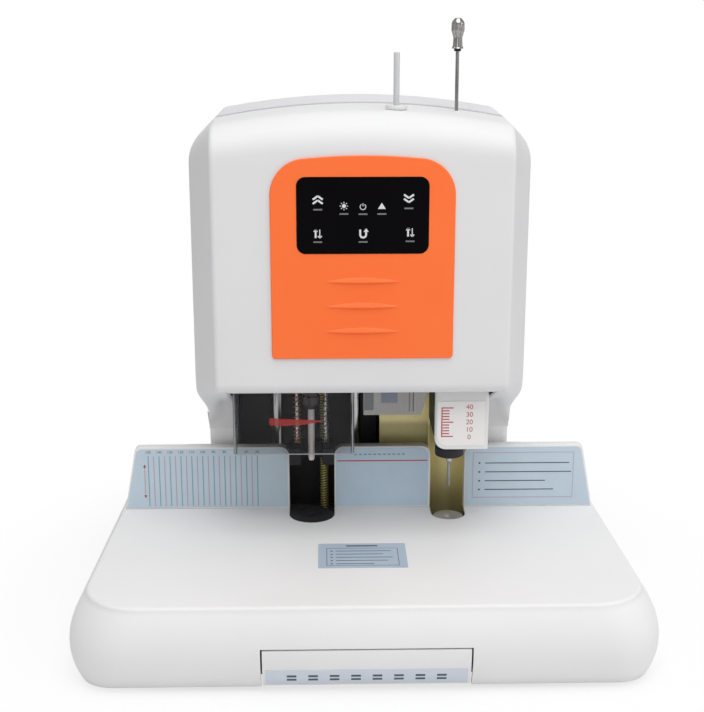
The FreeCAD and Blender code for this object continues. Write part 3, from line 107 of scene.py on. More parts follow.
def soft_lamp(name, place, aim, size, watts):
    """A square studio lamp at a place, turned towards a point, in metres."""
    lamp = bpy.data.lights.new(name, "AREA")
    lamp.size = size
    lamp.energy = watts
    holder = bpy.data.objects.new(name, lamp)
    direction = np.array(aim) - np.array(place)
    across = math.atan2(direction[1], direction[0])
    down = math.acos(-direction[2] / np.linalg.norm(direction))
    holder.rotation_euler = (down, 0.0, across - math.pi / 2)
    holder.location = place
    bpy.context.collection.objects.link(holder)


LAMPS = (
    ("lamp_above", (0.15, -0.95, 2.2), (0.0, 0.0, 0.1), 1.7, 31.0),
    ("lamp_overhead", (0.1, 0.2, 2.3), (0.0, 0.0, 0.1), 1.4, 6.0),
    ("lamp_right", (2.0, -0.8, 0.9), (0.0, 0.0, 0.3), 1.2, 6.0),
    ("lamp_low_front", (0.1, -2.2, 0.5), (0.0, 0.0, 0.15), 1.2, 1.0),
)
for lamp_values in LAMPS:
    soft_lamp(*lamp_values)

TABLE_HALF, FADE_NEAR, FADE_FAR, FADE_LEAST = 4.0, 0.2, 0.42, 0.7
table_mesh = bpy.data.meshes.new("table")
table_mesh.from_pydata([(x, y, 0.0) for x, y in ((-TABLE_HALF, -TABLE_HALF), (TABLE_HALF, -TABLE_HALF),
                                                 (TABLE_HALF, TABLE_HALF), (-TABLE_HALF, TABLE_HALF))],
                       [], [(0, 1, 2, 3)])
table = bpy.data.objects.new("table", table_mesh)
bpy.context.collection.objects.link(table)
table_paint = bpy.data.materials.new("table_paint")
table_paint.use_nodes = True
table_tree = table_paint.node_tree
table_tree.nodes.clear()
table_shade = step(table_tree, "BsdfDiffuse", {"Color": tone(240, 240, 241)})
table_glow = step(table_tree, "Emission", {"Color": (1.0, 1.0, 1.0, 1.0), "Strength": 1.0})
table_place = step(table_tree, "TexCoord").outputs["Object"]
table_far = step(table_tree, "VectorMath", {0: table_place}, operation="LENGTH").outputs["Value"]
# Near the machine the table keeps its shadow, and further out it fades to plain white.
table_fade = step(table_tree, "MapRange", {0: table_far, 1: FADE_NEAR, 2: FADE_FAR, 3: FADE_LEAST, 4: 1.0},
                  interpolation_type="SMOOTHSTEP").outputs[0]
table_share = step(table_tree, "Math", {0: seen_directly(table_tree), 1: table_fade}, operation="MULTIPLY")
table_mix = step(table_tree, "MixShader", {0: table_share.outputs[0], 1: table_shade.outputs[0],
                                           2: table_glow.outputs[0]})
step(table_tree, "OutputMaterial", {0: table_mix.outputs[0]})
table_mesh.materials.append(table_paint)

# Base plate, feet and runners.
# A zinc-plated steel plate carries everything. Four rubber feet are pressed into
# it, and two bent steel runners for the drawer are spot welded on top.


def effect_group(name, inputs, outputs):
    """An empty shader node group with named sockets, its entry and its exit."""
    group = bpy.data.node_groups.new(name, "ShaderNodeTree")
    for label, kind, start in inputs:
        socket = group.interface.new_socket(name=label, in_out="INPUT", socket_type="NodeSocket" + kind)
        socket.default_value = start
    for label, kind in outputs:
        group.interface.new_socket(name=label, in_out="OUTPUT", socket_type="NodeSocket" + kind)
    return group, group.nodes.new("NodeGroupInput").outputs, group.nodes.new("NodeGroupOutput").inputs


WHITE = (1.0, 1.0, 1.0, 1.0)
BLACK = (0.0, 0.0, 0.0, 1.0)
grain_group, entry, leave = effect_group(
    "grain_and_clouds",
    (("Place", "Vector", (0.0, 0.0, 0.0)), ("Light", "Color", WHITE), ("Dark", "Color", BLACK),
     ("Grain", "Float", 2000.0), ("Cloud", "Float", 20.0), ("Stretch", "Vector", (1.0, 1.0, 1.0)),
     ("Satin", "Float", 0.4), ("Worn", "Float", 0.1)),
    (("Tint", "Color"), ("Gloss", "Float"), ("Relief", "Float")))
# Fine grain drawn out along one way, broad clouds of tint and gloss, and small dull specks.
drawn_out = step(grain_group, "VectorMath", {0: entry["Place"], 1: entry["Stretch"]}, operation="MULTIPLY")
fine = step(grain_group, "TexNoise", {"Vector": drawn_out.outputs[0], "Scale": entry["Grain"], "Detail": 3.0,
                                      "Roughness": 0.6})
clouds = step(grain_group, "TexNoise", {"Vector": entry["Place"], "Scale": entry["Cloud"], "Detail": 4.0,
                                        "Roughness": 0.55})
blend_share = step(grain_group, "Mix", {0: 0.35, 2: clouds.outputs[0], 3: fine.outputs[0]}, data_type="FLOAT")
spread = step(grain_group, "MapRange", {0: blend_share.outputs[0], 1: 0.3, 2: 0.7, 3: 0.0, 4: 1.0})
tinted = step(grain_group, "Mix", {0: spread.outputs[0], 6: entry["Dark"], 7: entry["Light"]},
              data_type="RGBA")
worn = step(grain_group, "Math", {0: spread.outputs[0], 1: entry["Worn"], 2: entry["Satin"]},
            operation="MULTIPLY_ADD")
grain_group.links.new(tinted.outputs[2], leave["Tint"])
grain_group.links.new(worn.outputs[0], leave["Gloss"])
grain_group.links.new(fine.outputs[0], leave["Relief"])

scuff_group, entry, leave = effect_group(
    "scuffs_and_dust",
    (("Place", "Vector", (0.0, 0.0, 0.0)), ("Tint", "Color", WHITE), ("Gloss", "Float", 0.4),
     ("Dust", "Color", WHITE), ("Amount", "Float", 0.3), ("Size", "Float", 60.0)),
    (("Tint", "Color"), ("Gloss", "Float")))
# Thin hair lines where a noise crosses its middle, broken up by a second noise, and soft patches of dust.
lines = step(scuff_group, "TexNoise", {"Vector": entry["Place"], "Scale": entry["Size"], "Detail": 1.0,
                                       "Distortion": 1.6})
off_middle = step(scuff_group, "Math", {0: lines.outputs[0], 1: 0.5}, operation="SUBTRACT")
distance = step(scuff_group, "Math", {0: off_middle.outputs[0]}, operation="ABSOLUTE")
hair = step(scuff_group, "MapRange", {0: distance.outputs[0], 1: 0.0, 2: 0.006, 3: 1.0, 4: 0.0})
patches = step(scuff_group, "TexNoise", {"Vector": entry["Place"], "Scale": 14.0, "Detail": 3.0})
broken = step(scuff_group, "MapRange", {0: patches.outputs[0], 1: 0.52, 2: 0.72, 3: 0.0, 4: 1.0})
marks = step(scuff_group, "Math", {0: hair.outputs[0], 1: broken.outputs[0]}, operation="MULTIPLY")
dusty = step(scuff_group, "Math", {0: broken.outputs[0], 1: 0.35, 2: marks.outputs[0]},
             operation="MULTIPLY_ADD")
share = step(scuff_group, "Math", {0: dusty.outputs[0], 1: entry["Amount"]}, operation="MULTIPLY")
dusted = step(scuff_group, "Mix", {0: share.outputs[0], 6: entry["Tint"], 7: entry["Dust"]}, data_type="RGBA")
dull = step(scuff_group, "Math", {0: share.outputs[0], 1: 0.5, 2: entry["Gloss"]}, operation="MULTIPLY_ADD")
scuff_group.links.new(dusted.outputs[2], leave["Tint"])
scuff_group.links.new(dull.outputs[0], leave["Gloss"])


def surface(name, light, dark, grain=2500.0, cloud=18.0, stretch=(1.0, 1.0, 1.0), satin=0.4, worn=0.12,
            depth=0.02, scuff=0.15, dust=(205, 205, 203), scuff_size=60.0, **sockets):
    """A finish from a light and a dark tint: grain and clouds, then scuffs, then relief by its depth in mm.
    Further sockets of the shader are plain numbers."""
    material = bpy.data.materials.new(name)
    material.use_nodes = True
    tree = material.node_tree
    tree.nodes.clear()
    where = step(tree, "TexCoord").outputs["Object"]
    first = step(tree, "Group", node_tree=grain_group)
    for label, source in (("Light", tone(*light)), ("Dark", tone(*dark)), ("Grain", grain), ("Cloud", cloud),
                          ("Stretch", stretch), ("Satin", satin), ("Worn", worn)):
        first.inputs[label].default_value = source
    tree.links.new(where, first.inputs["Place"])
    second = step(tree, "Group", node_tree=scuff_group)
    for label, source in (("Dust", tone(*dust)), ("Amount", scuff), ("Size", scuff_size)):
        second.inputs[label].default_value = source
    for label, source in (("Place", where), ("Tint", first.outputs["Tint"]),
                          ("Gloss", first.outputs["Gloss"])):
        tree.links.new(source, second.inputs[label])
    relief = step(tree, "Bump", {"Height": first.outputs["Relief"], "Distance": depth * MM, "Strength": 1.0})
    feeds = {"Base Color": second.outputs["Tint"], "Roughness": second.outputs["Gloss"],
             "Normal": relief.outputs[0]}
    feeds.update({label.replace("_", " "): number for label, number in sockets.items()})
    shader = step(tree, "BsdfPrincipled", feeds)
    step(tree, "OutputMaterial", {0: shader.outputs[0]})
    return material


def dress(material, *names):
    """Give CAD nodes a finish in their own material slots."""
    for name in names:
        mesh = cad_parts[name].data
        mesh.materials.clear()
        mesh.materials.append(material)


zinc_plate = surface("zinc_plate", (176, 178, 176), (128, 130, 130), grain=900, cloud=45, satin=0.32,
                     worn=0.2,
                     scuff=0.2, Metallic=0.9)
feet_rubber = surface("feet_rubber", (44, 44, 46), (24, 24, 26), grain=3500, satin=0.75, worn=0.15,
                      depth=0.05)
dress(zinc_plate, "base_plate", "drawer_runners")
dress(feet_rubber, "rubber_feet")

# Base cover.
# One injection moulding in white ABS: a bulging wall, a flat platen with a
# rounded edge, and two round-fronted notches that run back under the fence.


def lay(name, points, faces, body, slot, *materials, replaces=(), merge=0.002, sharp=35.0, wall=0.0,
        which=None):
    """Make a piece from points in mm and lists of faces: doubles merged, turned outwards, smooth up to an
    angle. which gives each face its material number, and wall is the thickness that goes inwards."""
    mesh = bpy.data.meshes.new(name)
    flat = [tuple(face) for block in faces for face in np.asarray(block).tolist()]
    mesh.from_pydata((np.asarray(points, float) * MM).tolist(), [], flat)
    if which is not None:
        mesh.polygons.foreach_set("material_index", np.asarray(which, np.int32))
    for material in materials:
        mesh.materials.append(material)
    if merge:
        form = bmesh.new()
        form.from_mesh(mesh)
        bmesh.ops.remove_doubles(form, verts=form.verts, dist=merge * MM)
        bmesh.ops.dissolve_degenerate(form, edges=form.edges, dist=merge * MM)
        form.to_mesh(mesh)
        form.free()
    count = len(mesh.polygons)
    normals, middles, areas = np.empty(count * 3), np.empty(count * 3), np.empty(count)
    mesh.polygons.foreach_get("normal", normals)
    mesh.polygons.foreach_get("center", middles)
    mesh.polygons.foreach_get("area", areas)
    middles = middles.reshape(-1, 3)
    middles = middles - middles.mean(0)
    if (np.einsum("ij,ij->i", normals.reshape(-1, 3), middles) * areas).sum() < 0:
        mesh.flip_normals()
    mesh.shade_smooth()
    mesh.set_sharp_from_angle(angle=math.radians(sharp))
    edge_uses = np.empty(len(mesh.loops), np.int32)
    mesh.loops.foreach_get("edge_index", edge_uses)
    crisp = np.empty(len(mesh.edges), bool)
    mesh.edges.foreach_get("use_edge_sharp", crisp)
    mesh.edges.foreach_set("use_edge_sharp", crisp | (np.bincount(edge_uses, minlength=len(crisp)) == 1))
    piece = bpy.data.objects.new(name, mesh)
    bpy.context.collection.objects.link(piece)
    if wall:
        thicken = piece.modifiers.new("wall", "SOLIDIFY")
        thicken.thickness = wall * MM
        thicken.offset = -1.0
        thicken.use_even_offset = True
    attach(piece, body)
    if replaces:
        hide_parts(*replaces)
    return piece


def grid_faces(rows, columns, wrap_rows=False, wrap_columns=False, start=0):
    """Corner numbers of the four-sided faces of a grid of points kept row by row."""
    row = np.arange(rows if wrap_rows else rows - 1)[:, None]
    column = np.arange(columns if wrap_columns else columns - 1)[None, :]
    next_row, next_column = (row + 1) % rows, (column + 1) % columns
    corners = (row * columns + column, row * columns + next_column,
               next_row * columns + next_column, next_row * columns + column)
    return np.stack(np.broadcast_arrays(*corners), -1).reshape(-1, 4) + start


def rounded(corners, steps=8, closed=True):
    """A path through corners (a, b) or (a, b, radius). A rounded corner is the arc that touches both runs:
    its points turn evenly about the arc's centre from one touching point to the other."""
    spots = [np.array(corner[:2], float) for corner in corners]
    path = []
    for index, corner in enumerate(corners):
        inner = closed or 0 < index < len(corners) - 1
        if len(corner) < 3 or not inner:
            path.append(spots[index][None])
            continue
        before = spots[index - 1] - spots[index]
        after = spots[(index + 1) % len(spots)] - spots[index]
        before, after = before / np.linalg.norm(before), after / np.linalg.norm(after)
        half = math.acos(np.clip(before @ after, -1.0, 1.0)) / 2
        bisector = before + after
        centre = spots[index] + bisector / np.linalg.norm(bisector) * corner[2] / math.sin(half)
        reach = corner[2] / math.tan(half)
        first, last = spots[index] + before * reach - centre, spots[index] + after * reach - centre
        turn = math.pi - 2 * half
        share = np.linspace(0, 1, steps + 1)[:, None]
        arc = np.sin((1 - share) * turn) * first + np.sin(share * turn) * last
        path.append(centre + arc / math.sin(turn))
    return np.concatenate(path)


def through_three(levels, sizes, level):
    """The parabola through three sizes at three levels, read at a level."""
    (a, b, c), (p, q, r) = levels, sizes
    return (p * (level - b) * (level - c) / ((a - b) * (a - c))
            + q * (level - a) * (level - c) / ((b - a) * (b - c))
            + r * (level - a) * (level - b) / ((c - a) * (c - b)))


BASE_LEVELS = (4.0, 32.0, 69.0)
BASE_HALF_WIDE = (229.5, 239.7, 226.6)
BASE_HALF_DEEP = (195.5, 205.7, 196.0)
BASE_CORNERS = (28.0, 45.0, 46.0)
BASE_BACK_TUCK = 13.0
PLATEN_LEVEL, PLATEN_EDGE = 72.0, 3.0
DRAWER_OPENING_HALF, DRAWER_OPENING_HIGH = 83.2, 41.2
OPENING_HALF, OPENING_FRONT, OPENING_BACK = 121.0, 22.0, 150.0
DRILL_X, RIVET_X, STATION_Y = -44.0, 81.0, -5.0
DRILL_NOTCH, RIVET_NOTCH = 20.75, 15.75
SIDE_CUT_Y = 86.0
WALL = 3.0
WALL_FOOT, WALL_TOP = BASE_LEVELS[0], BASE_LEVELS[2]
FRONT_POINTS = (-130.0, -DRAWER_OPENING_HALF, -40.0, 0.0, 40.0, DRAWER_OPENING_HALF, 130.0)
BACK_POINT, DRAWER_WALL_Y, PLATEN_RIM = 100.0, -150.0, 1.6


def base_ring(level, inset):
    """One level of the base: a rounded outline, narrower at the back, whose half sizes and corners are
    parabolas of the level. It starts at the left side and runs round the front, with points where the
    drawer opening is."""
    wide = through_three(BASE_LEVELS, BASE_HALF_WIDE, level) - inset
    deep = through_three(BASE_LEVELS, BASE_HALF_DEEP, level) - inset
    radius = through_three(BASE_LEVELS, BASE_CORNERS, level) - inset
    back = wide - BASE_BACK_TUCK
    middle = (wide + back) / 2
    cut = middle - BASE_BACK_TUCK * SIDE_CUT_Y / (2 * deep)
    front = [(x, -deep) for x in FRONT_POINTS]
    corners = [(-cut, SIDE_CUT_Y), (-middle, 0.0), (-wide, -deep, radius), *front, (wide, -deep, radius),
               (middle, 0.0), (cut, SIDE_CUT_Y), (back, deep, radius), (BACK_POINT, deep), (0.0, deep),
               (-BACK_POINT, deep), (-back, deep, radius)]
    ring = rounded(corners, 12)
    return np.column_stack((ring, np.full(len(ring), level)))


edge_turn = np.linspace(0, math.pi / 2, 7)
base_levels = np.concatenate((np.linspace(WALL_FOOT, DRAWER_OPENING_HIGH, 15),
                              np.linspace(44.0, WALL_TOP, 10)))
base_rows = [base_ring(level, 0.0) for level in base_levels]
for turn in edge_turn[1:]:
    row = base_ring(WALL_TOP, PLATEN_EDGE * (1 - math.cos(turn)))
    row[:, 2] = PLATEN_LEVEL - PLATEN_EDGE * (1 - math.sin(turn))
    base_rows.append(row)
flat_row = base_ring(WALL_TOP, PLATEN_EDGE * PLATEN_RIM)
flat_row[:, 2] = PLATEN_LEVEL
base_rows.append(flat_row)
ring_length = len(base_rows[0])
base_points = np.concatenate(base_rows)
base_quads = grid_faces(len(base_rows), ring_length, wrap_columns=True)
quad_middle = base_points[base_quads].mean(1)
in_drawer = ((np.abs(quad_middle[:, 0]) < DRAWER_OPENING_HALF) & (quad_middle[:, 1] < DRAWER_WALL_Y)
             & (quad_middle[:, 2] < DRAWER_OPENING_HIGH))
base_quads = base_quads[~in_drawer]
half_turn = np.linspace(math.pi, 2 * math.pi, 25)[:, None]


def notch_path(x, half):
    """The front of a notch: straight forward, half a turn round the station, straight back."""
    arc = np.hstack((x + half * np.cos(half_turn), STATION_Y + half * np.sin(half_turn)))
    return np.vstack(((x - half, OPENING_FRONT), arc, (x + half, OPENING_FRONT)))


opening_front = np.vstack(((-OPENING_HALF, SIDE_CUT_Y), (-OPENING_HALF, OPENING_FRONT),
                           notch_path(DRILL_X, DRILL_NOTCH), notch_path(RIVET_X, RIVET_NOTCH),
                           (OPENING_HALF, OPENING_FRONT), (OPENING_HALF, SIDE_CUT_Y)))
opening = np.vstack((opening_front, (OPENING_HALF, OPENING_BACK), (-OPENING_HALF, OPENING_BACK)))
opening = np.column_stack((opening, np.full(len(opening), PLATEN_LEVEL)))
ring_start = (len(base_rows) - 1) * ring_length
hole_start = len(base_points)
right_cut = int(np.argmin(np.abs(flat_row[:, 1] - SIDE_CUT_Y) + 1000.0 * (flat_row[:, 0] < 0)))
hole_cut = len(opening_front) - 1
platen_front = (list(range(ring_start, ring_start + right_cut + 1))
                + list(range(hole_start + hole_cut, hole_start - 1, -1)))
platen_back = (list(range(ring_start + right_cut, ring_start + ring_length)) + [ring_start, hole_start]
               + list(range(hole_start + len(opening) - 1, hole_start + hole_cut - 1, -1)))
cover_white = surface("cover_white", (233, 233, 233), (227, 227, 227), grain=4200, cloud=9, satin=0.46,
                      worn=0.1,
                      depth=0.012, scuff=0.06, dust=(224, 223, 220), Specular_IOR_Level=0.35)
lay("base_top_cover_skin", np.vstack((base_points, opening)), [base_quads, [platen_front], [platen_back]],
    "root",
    "cover_white", cover_white, replaces=("base_top_cover",), wall=WALL)

# Scrap drawer.
# A white moulded tray for the drilled waste. Its front is a piece of the base's
# own curve, and a pale blue printed strip is stuck along its lower part.

DRAWER_HALF, DRAWER_LOW, DRAWER_HIGH, DRAWER_FRONT_THICK = 81.8, 5.5, 39.9, 6.0


def drawer_skin(half, low, high, stand, steps):
    """A patch of the base's front wall between two levels, moved out by stand."""
    across, up = np.meshgrid(np.linspace(-half, half, 21), np.linspace(low, high, steps))
    deep = through_three(BASE_LEVELS, BASE_HALF_DEEP, up) + stand
    return np.stack((across, -deep, up), -1).reshape(-1, 3)


lay("drawer_front", drawer_skin(DRAWER_HALF, DRAWER_LOW, DRAWER_HIGH, 0.0, 15), [grid_faces(15, 21)],
    "scrap_drawer", "cover_white", cover_white, wall=DRAWER_FRONT_THICK)


def box_faces(start=0):
    """The six faces of a box whose corners are kept low ring first, then high ring."""
    return np.array(((0, 3, 2, 1), (4, 5, 6, 7), (0, 1, 5, 4), (1, 2, 6, 5), (2, 3, 7, 6),
                     (3, 0, 4, 7))) + start


def slab(outline, low, high, edge=0.4, plane="XZ", steps=3):
    """A plate from an outline: loops that turn its edges through a quarter circle at both faces, with one
    more loop inside each face so that the flat stays flat."""
    outline = np.asarray(outline, float)
    ahead = np.roll(outline, -1, 0) - outline
    ahead /= np.linalg.norm(ahead, axis=1)[:, None]
    side = np.column_stack((ahead[:, 1], -ahead[:, 0]))
    before = np.roll(side, 1, 0)
    mitre = (side + before) / np.maximum(1 + np.einsum("ij,ij->i", side, before), 0.3)[:, None]
    area = (outline[:, 0] * np.roll(outline[:, 1], -1) - np.roll(outline[:, 0], -1) * outline[:, 1]).sum()
    inward = -mitre * math.copysign(1, area)
    turn = np.linspace(0, math.pi / 2, steps + 1)
    insets = np.concatenate(([1.5 * edge], edge * (1 - np.sin(turn))))
    levels = np.concatenate(([0.0], edge * (1 - np.cos(turn))))
    insets = np.concatenate((insets, insets[::-1]))
    levels = np.concatenate((low + levels, high - levels[::-1]))
    loops = outline[None] + inward[None] * insets[:, None, None]
    depth = np.broadcast_to(levels[:, None], loops.shape[:2])
    order = {"XZ": (0, 2, 1), "XY": (0, 1, 2), "YZ": (2, 0, 1)}[plane]
    stacked = np.stack((loops[..., 0], loops[..., 1], depth), -1)[..., order]
    rows, columns = loops.shape[:2]
    faces = [grid_faces(rows, columns, wrap_columns=True), [list(range(columns))[::-1]],
             [list(range((rows - 1) * columns, rows * columns))]]
    return stacked.reshape(-1, 3), faces


def box_outline(left, right, low, high, radius=0.0, steps=6):
    """A rectangle's outline, with all four corners rounded when a radius is given."""
    tail = (radius,) if radius else ()
    return rounded([(left, low, *tail), (right, low, *tail), (right, high, *tail), (left, high, *tail)],
                   steps)


def gathered(parts):
    """Several pieces' points and faces put together as one."""
    points, faces, start = [], [], 0
    for spots, blocks in parts:
        points.append(spots)
        for block in blocks:
            faces.append([[corner + start for corner in face] for face in np.asarray(block).tolist()])
        start += len(spots)
    return np.concatenate(points), faces


TRAY_HALF, TRAY_FRONT, TRAY_BACK, TRAY_LOW, TRAY_HIGH, TRAY_WALL = 80.0, -194.0, 58.0, 8.0, 38.0, 2.0
tray_walls = [
    slab(box_outline(-TRAY_HALF, TRAY_HALF, TRAY_FRONT, TRAY_BACK, 2.0), TRAY_LOW, TRAY_LOW + TRAY_WALL, 0.3,
         "XY"),
    slab(box_outline(-TRAY_HALF, -TRAY_HALF + TRAY_WALL, TRAY_FRONT, TRAY_BACK, 0.5), TRAY_LOW + 1, TRAY_HIGH,
         0.3, "XY"),
    slab(box_outline(TRAY_HALF - TRAY_WALL, TRAY_HALF, TRAY_FRONT, TRAY_BACK, 0.5), TRAY_LOW + 1, TRAY_HIGH,
         0.3, "XY"),
    slab(box_outline(-TRAY_HALF + 1, TRAY_HALF - 1, TRAY_BACK - TRAY_WALL, TRAY_BACK, 0.5), TRAY_LOW + 1,
         TRAY_HIGH, 0.3, "XY"),
]
lay("drawer_tray", *gathered(tray_walls), "scrap_drawer", "cover_white", cover_white,
    replaces=("scrap_drawer",))
film_blue = surface("film_blue", (195, 211, 222), (186, 202, 214), grain=1800, cloud=30, satin=0.34, worn=0.1,
                    depth=0.004, scuff=0.1)
film_pale = surface("film_pale", (209, 215, 224), (201, 208, 218), grain=1800, cloud=30, satin=0.4, worn=0.1,
                    depth=0.004, scuff=0.1)
ink_dark = surface("ink_dark", (74, 84, 96), (58, 68, 80), grain=2500, satin=0.4, worn=0.1, depth=0.002)
STRIP_HALF, STRIP_LOW, STRIP_HIGH, STRIP_STAND = 79.5, 7.0, 22.6, 0.3
lay("drawer_strip", drawer_skin(STRIP_HALF, STRIP_LOW, STRIP_HIGH, STRIP_STAND, 8), [grid_faces(8, 21)],
    "scrap_drawer", "printed_film", film_pale, wall=STRIP_STAND)
MARK_SPREAD, MARK_COUNT, MARK_HALF, MARK_STAND = 59.0, 8, 3.8, 0.06
MARK_LEVELS = ((11.2, 13.4), (15.0, 17.2))
strip_marks = []
for x in np.linspace(-MARK_SPREAD, MARK_SPREAD, MARK_COUNT):
    for low, high in MARK_LEVELS:
        mark = drawer_skin(MARK_HALF, low, high, STRIP_STAND + MARK_STAND, 3)
        strip_marks.append((mark + (x, 0.0, 0.0), [grid_faces(3, 21)]))
lay("drawer_marks", *gathered(strip_marks), "scrap_drawer", "printed_film", ink_dark, wall=0.08)

# Fence and printed films.
# Three white uprights behind the platen stop the paper. A pale blue film is
# stuck on each; the left one carries the ruler of the binding edge.

FENCE_LOW, FENCE_HIGH, FENCE_FRONT, FENCE_BACK = 72.0, 132.0, 10.0, 20.0
FENCE_HALF_LOW, FENCE_HALF_HIGH, FENCE_END, SLOT_RADIUS = 216.5, 205.5, 5.0, 8.0
SHEET_RIM, SHEET_THICK = 1.6, 0.4
drill_left, drill_right = DRILL_X - DRILL_NOTCH, DRILL_X + DRILL_NOTCH
rivet_left, rivet_right = RIVET_X - RIVET_NOTCH, RIVET_X + RIVET_NOTCH


def fence_outlines(rim):
    """The three panels' outlines, drawn in by a rim."""
    low, high = FENCE_LOW + rim, FENCE_HIGH - rim
    return (
        [(-FENCE_HALF_LOW + rim, low), (drill_left - rim, low), (drill_left - rim, high, SLOT_RADIUS),
         (-FENCE_HALF_HIGH + rim, high, FENCE_END)],
        [(drill_right + rim, low), (rivet_left - rim, low), (rivet_left - rim, high, SLOT_RADIUS),
         (drill_right + rim, high, SLOT_RADIUS)],
        [(rivet_right + rim, low), (FENCE_HALF_LOW - rim, low), (FENCE_HALF_HIGH - rim, high, FENCE_END),
         (rivet_right + rim, high, SLOT_RADIUS)],
    )


lay("fence_uprights", *gathered([slab(rounded(outline, 8), FENCE_FRONT, FENCE_BACK, 0.8)
                                 for outline in fence_outlines(0.0)]),
    "root", "cover_white", cover_white, replaces=("fence_panels",))
film_middle = surface("film_middle", (191, 211, 226), (182, 202, 218), grain=1800, cloud=30, satin=0.34,
                      worn=0.1, depth=0.004, scuff=0.1)
for name, outline, film in zip(("left", "middle", "right"), fence_outlines(SHEET_RIM),
                               (film_blue, film_middle, film_blue)):
    lay("fence_film_" + name, *slab(rounded(outline, 8), FENCE_FRONT - SHEET_THICK, FENCE_FRONT, 0.1),
        "root", "printed_film", film)
INK = 0.06
film_face = FENCE_FRONT - SHEET_THICK


def bar(left, right, low, high, face, stand=INK):
    """A printed bar on an upright face that looks forward: a flat block as thick as the ink."""
    corners = [(x, y, z) for y in (face - stand, face + stand) for x, z in
               ((left, low), (right, low), (right, high), (left, high))]
    return np.array(corners, float), [box_faces()]


RULER_FROM, RULER_TO, RULER_STEP = 50.0, 150.0, 5.0
RULER_LOW, RULER_HIGH, NUMBER_LEVEL, LINE_HALF = 75.0, 124.0, 126.6, 0.42
ruler = np.arange(RULER_FROM, RULER_TO + 1, RULER_STEP)
teal_ink = surface("teal_ink", (128, 166, 180), (112, 150, 166), grain=2500, satin=0.4, worn=0.1, depth=0.002)
rose_ink = surface("rose_ink", (190, 166, 190), (174, 150, 176), grain=2500, satin=0.4, worn=0.1, depth=0.002)
red_ink = surface("red_ink", (196, 74, 66), (176, 58, 54), grain=2500, satin=0.4, worn=0.1, depth=0.002)
for name, marks_at, ink in (("tens", ruler[::2], teal_ink), ("fives", ruler[1::2], rose_ink)):
    lay("ruler_" + name, *gathered([bar(DRILL_X - mark - LINE_HALF, DRILL_X - mark + LINE_HALF, RULER_LOW,
                                        RULER_HIGH, film_face) for mark in marks_at]),
        "root", "printed_film", ink)


def lettering(name, entries, size, ink, body, place):
    """Numbers set as flat text, made one mesh: each entry is a word and its middle in the text's own plane,
    and place turns the plane's points into the object's, in mm."""
    points, faces, start = [], [], 0
    for word, across, up in entries:
        curve = bpy.data.curves.new(name, "FONT")
        curve.body, curve.size, curve.align_x = word, size, "CENTER"
        curve.extrude = INK
        letter = bpy.data.objects.new(name, curve)
        mesh = bpy.data.meshes.new_from_object(letter)
        spots = np.empty(len(mesh.vertices) * 3)
        mesh.vertices.foreach_get("co", spots)
        spots = spots.reshape(-1, 3) + (across, up, 0.0)
        points.append(place(spots))
        faces += [[corner + start for corner in face.vertices] for face in mesh.polygons]
        start += len(spots)
        bpy.data.objects.remove(letter)
        bpy.data.curves.remove(curve)
        bpy.data.meshes.remove(mesh)
    return lay(name, np.concatenate(points), [[face] for face in faces], body, "printed_film", ink, merge=0.0)


def on_front(face):
    """Text whose plane looks forward at a given Y."""
    return lambda spots: np.column_stack((spots[:, 0], face - spots[:, 2], spots[:, 1]))


NUMBER_SIZE = 3.4
lettering("ruler_numbers", [("%d" % mark, DRILL_X - mark, NUMBER_LEVEL) for mark in ruler[::2]], NUMBER_SIZE,
          ink_dark, "root", on_front(film_face))
arrow_x, arrow_low, arrow_high = -197.5, 83.0, 116.0
dots = [bar(arrow_x - 0.35, arrow_x + 0.35, level, level + 1.2, film_face)
        for level in np.arange(arrow_low + 2, arrow_high - 2, 2.4)]
for tip, base in ((arrow_low, arrow_low + 3.0), (arrow_high, arrow_high - 3.0)):
    dots.append(slab([(arrow_x - 1.5, base), (arrow_x + 1.5, base), (arrow_x, tip)], film_face - INK,
                     film_face + INK, 0.02))
lay("ruler_arrow", *gathered(dots), "root", "printed_film", red_ink)
MIDDLE_LINE = (-20.6, 62.4, 117.6, 118.7)
lay("middle_line", *bar(*MIDDLE_LINE, film_face), "root", "printed_film", red_ink)


def frame_bars(left, right, low, high, face, wide=0.6):
    """Four printed bars round a rectangle."""
    return gathered([bar(left, right, low, low + wide, face), bar(left, right, high - wide, high, face),
                     bar(left, left + wide, low + wide, high - wide, face),
                     bar(right - wide, right, low + wide, high - wide, face)])


RIGHT_FRAME = (104.5, 198.0, 81.0, 125.5)
RIGHT_RULES = ((115.0, 194.0), (106.3, 196.0), (97.6, 172.0), (89.0, 180.0))
lay("right_frame", *frame_bars(*RIGHT_FRAME, film_face), "root", "printed_film", rose_ink)
right_rules = []
for level, stop in RIGHT_RULES:
    right_rules += [bar(110.0, 111.6, level - 0.8, level + 0.8, film_face),
                    bar(116.0, stop, level - 0.45, level + 0.45, film_face)]
lay("right_rules", *gathered(right_rules), "root", "printed_film", ink_dark)
DASH_LONG, DASH_LOW, DASH_HIGH = 2.6, 123.6, 125.0
lay("middle_rule", *gathered([bar(x, x + DASH_LONG, DASH_LOW, DASH_HIGH, film_face)
                              for x in np.arange(-5.0, 43.0, 4.4)]), "root", "printed_film", teal_ink)
PLATEN_FILM = (-38.0, 37.0, -124.0, -74.0)
PLATEN_FILM_TOP = 72.4
lay("platen_film", *slab(box_outline(*PLATEN_FILM, 1.5), PLATEN_LEVEL, PLATEN_FILM_TOP, 0.1, "XY"), "root",
    "printed_film", surface("film_platen", (178, 194, 209), (168, 184, 200), grain=1800, cloud=30, satin=0.4,
                            worn=0.1, depth=0.004, scuff=0.1))
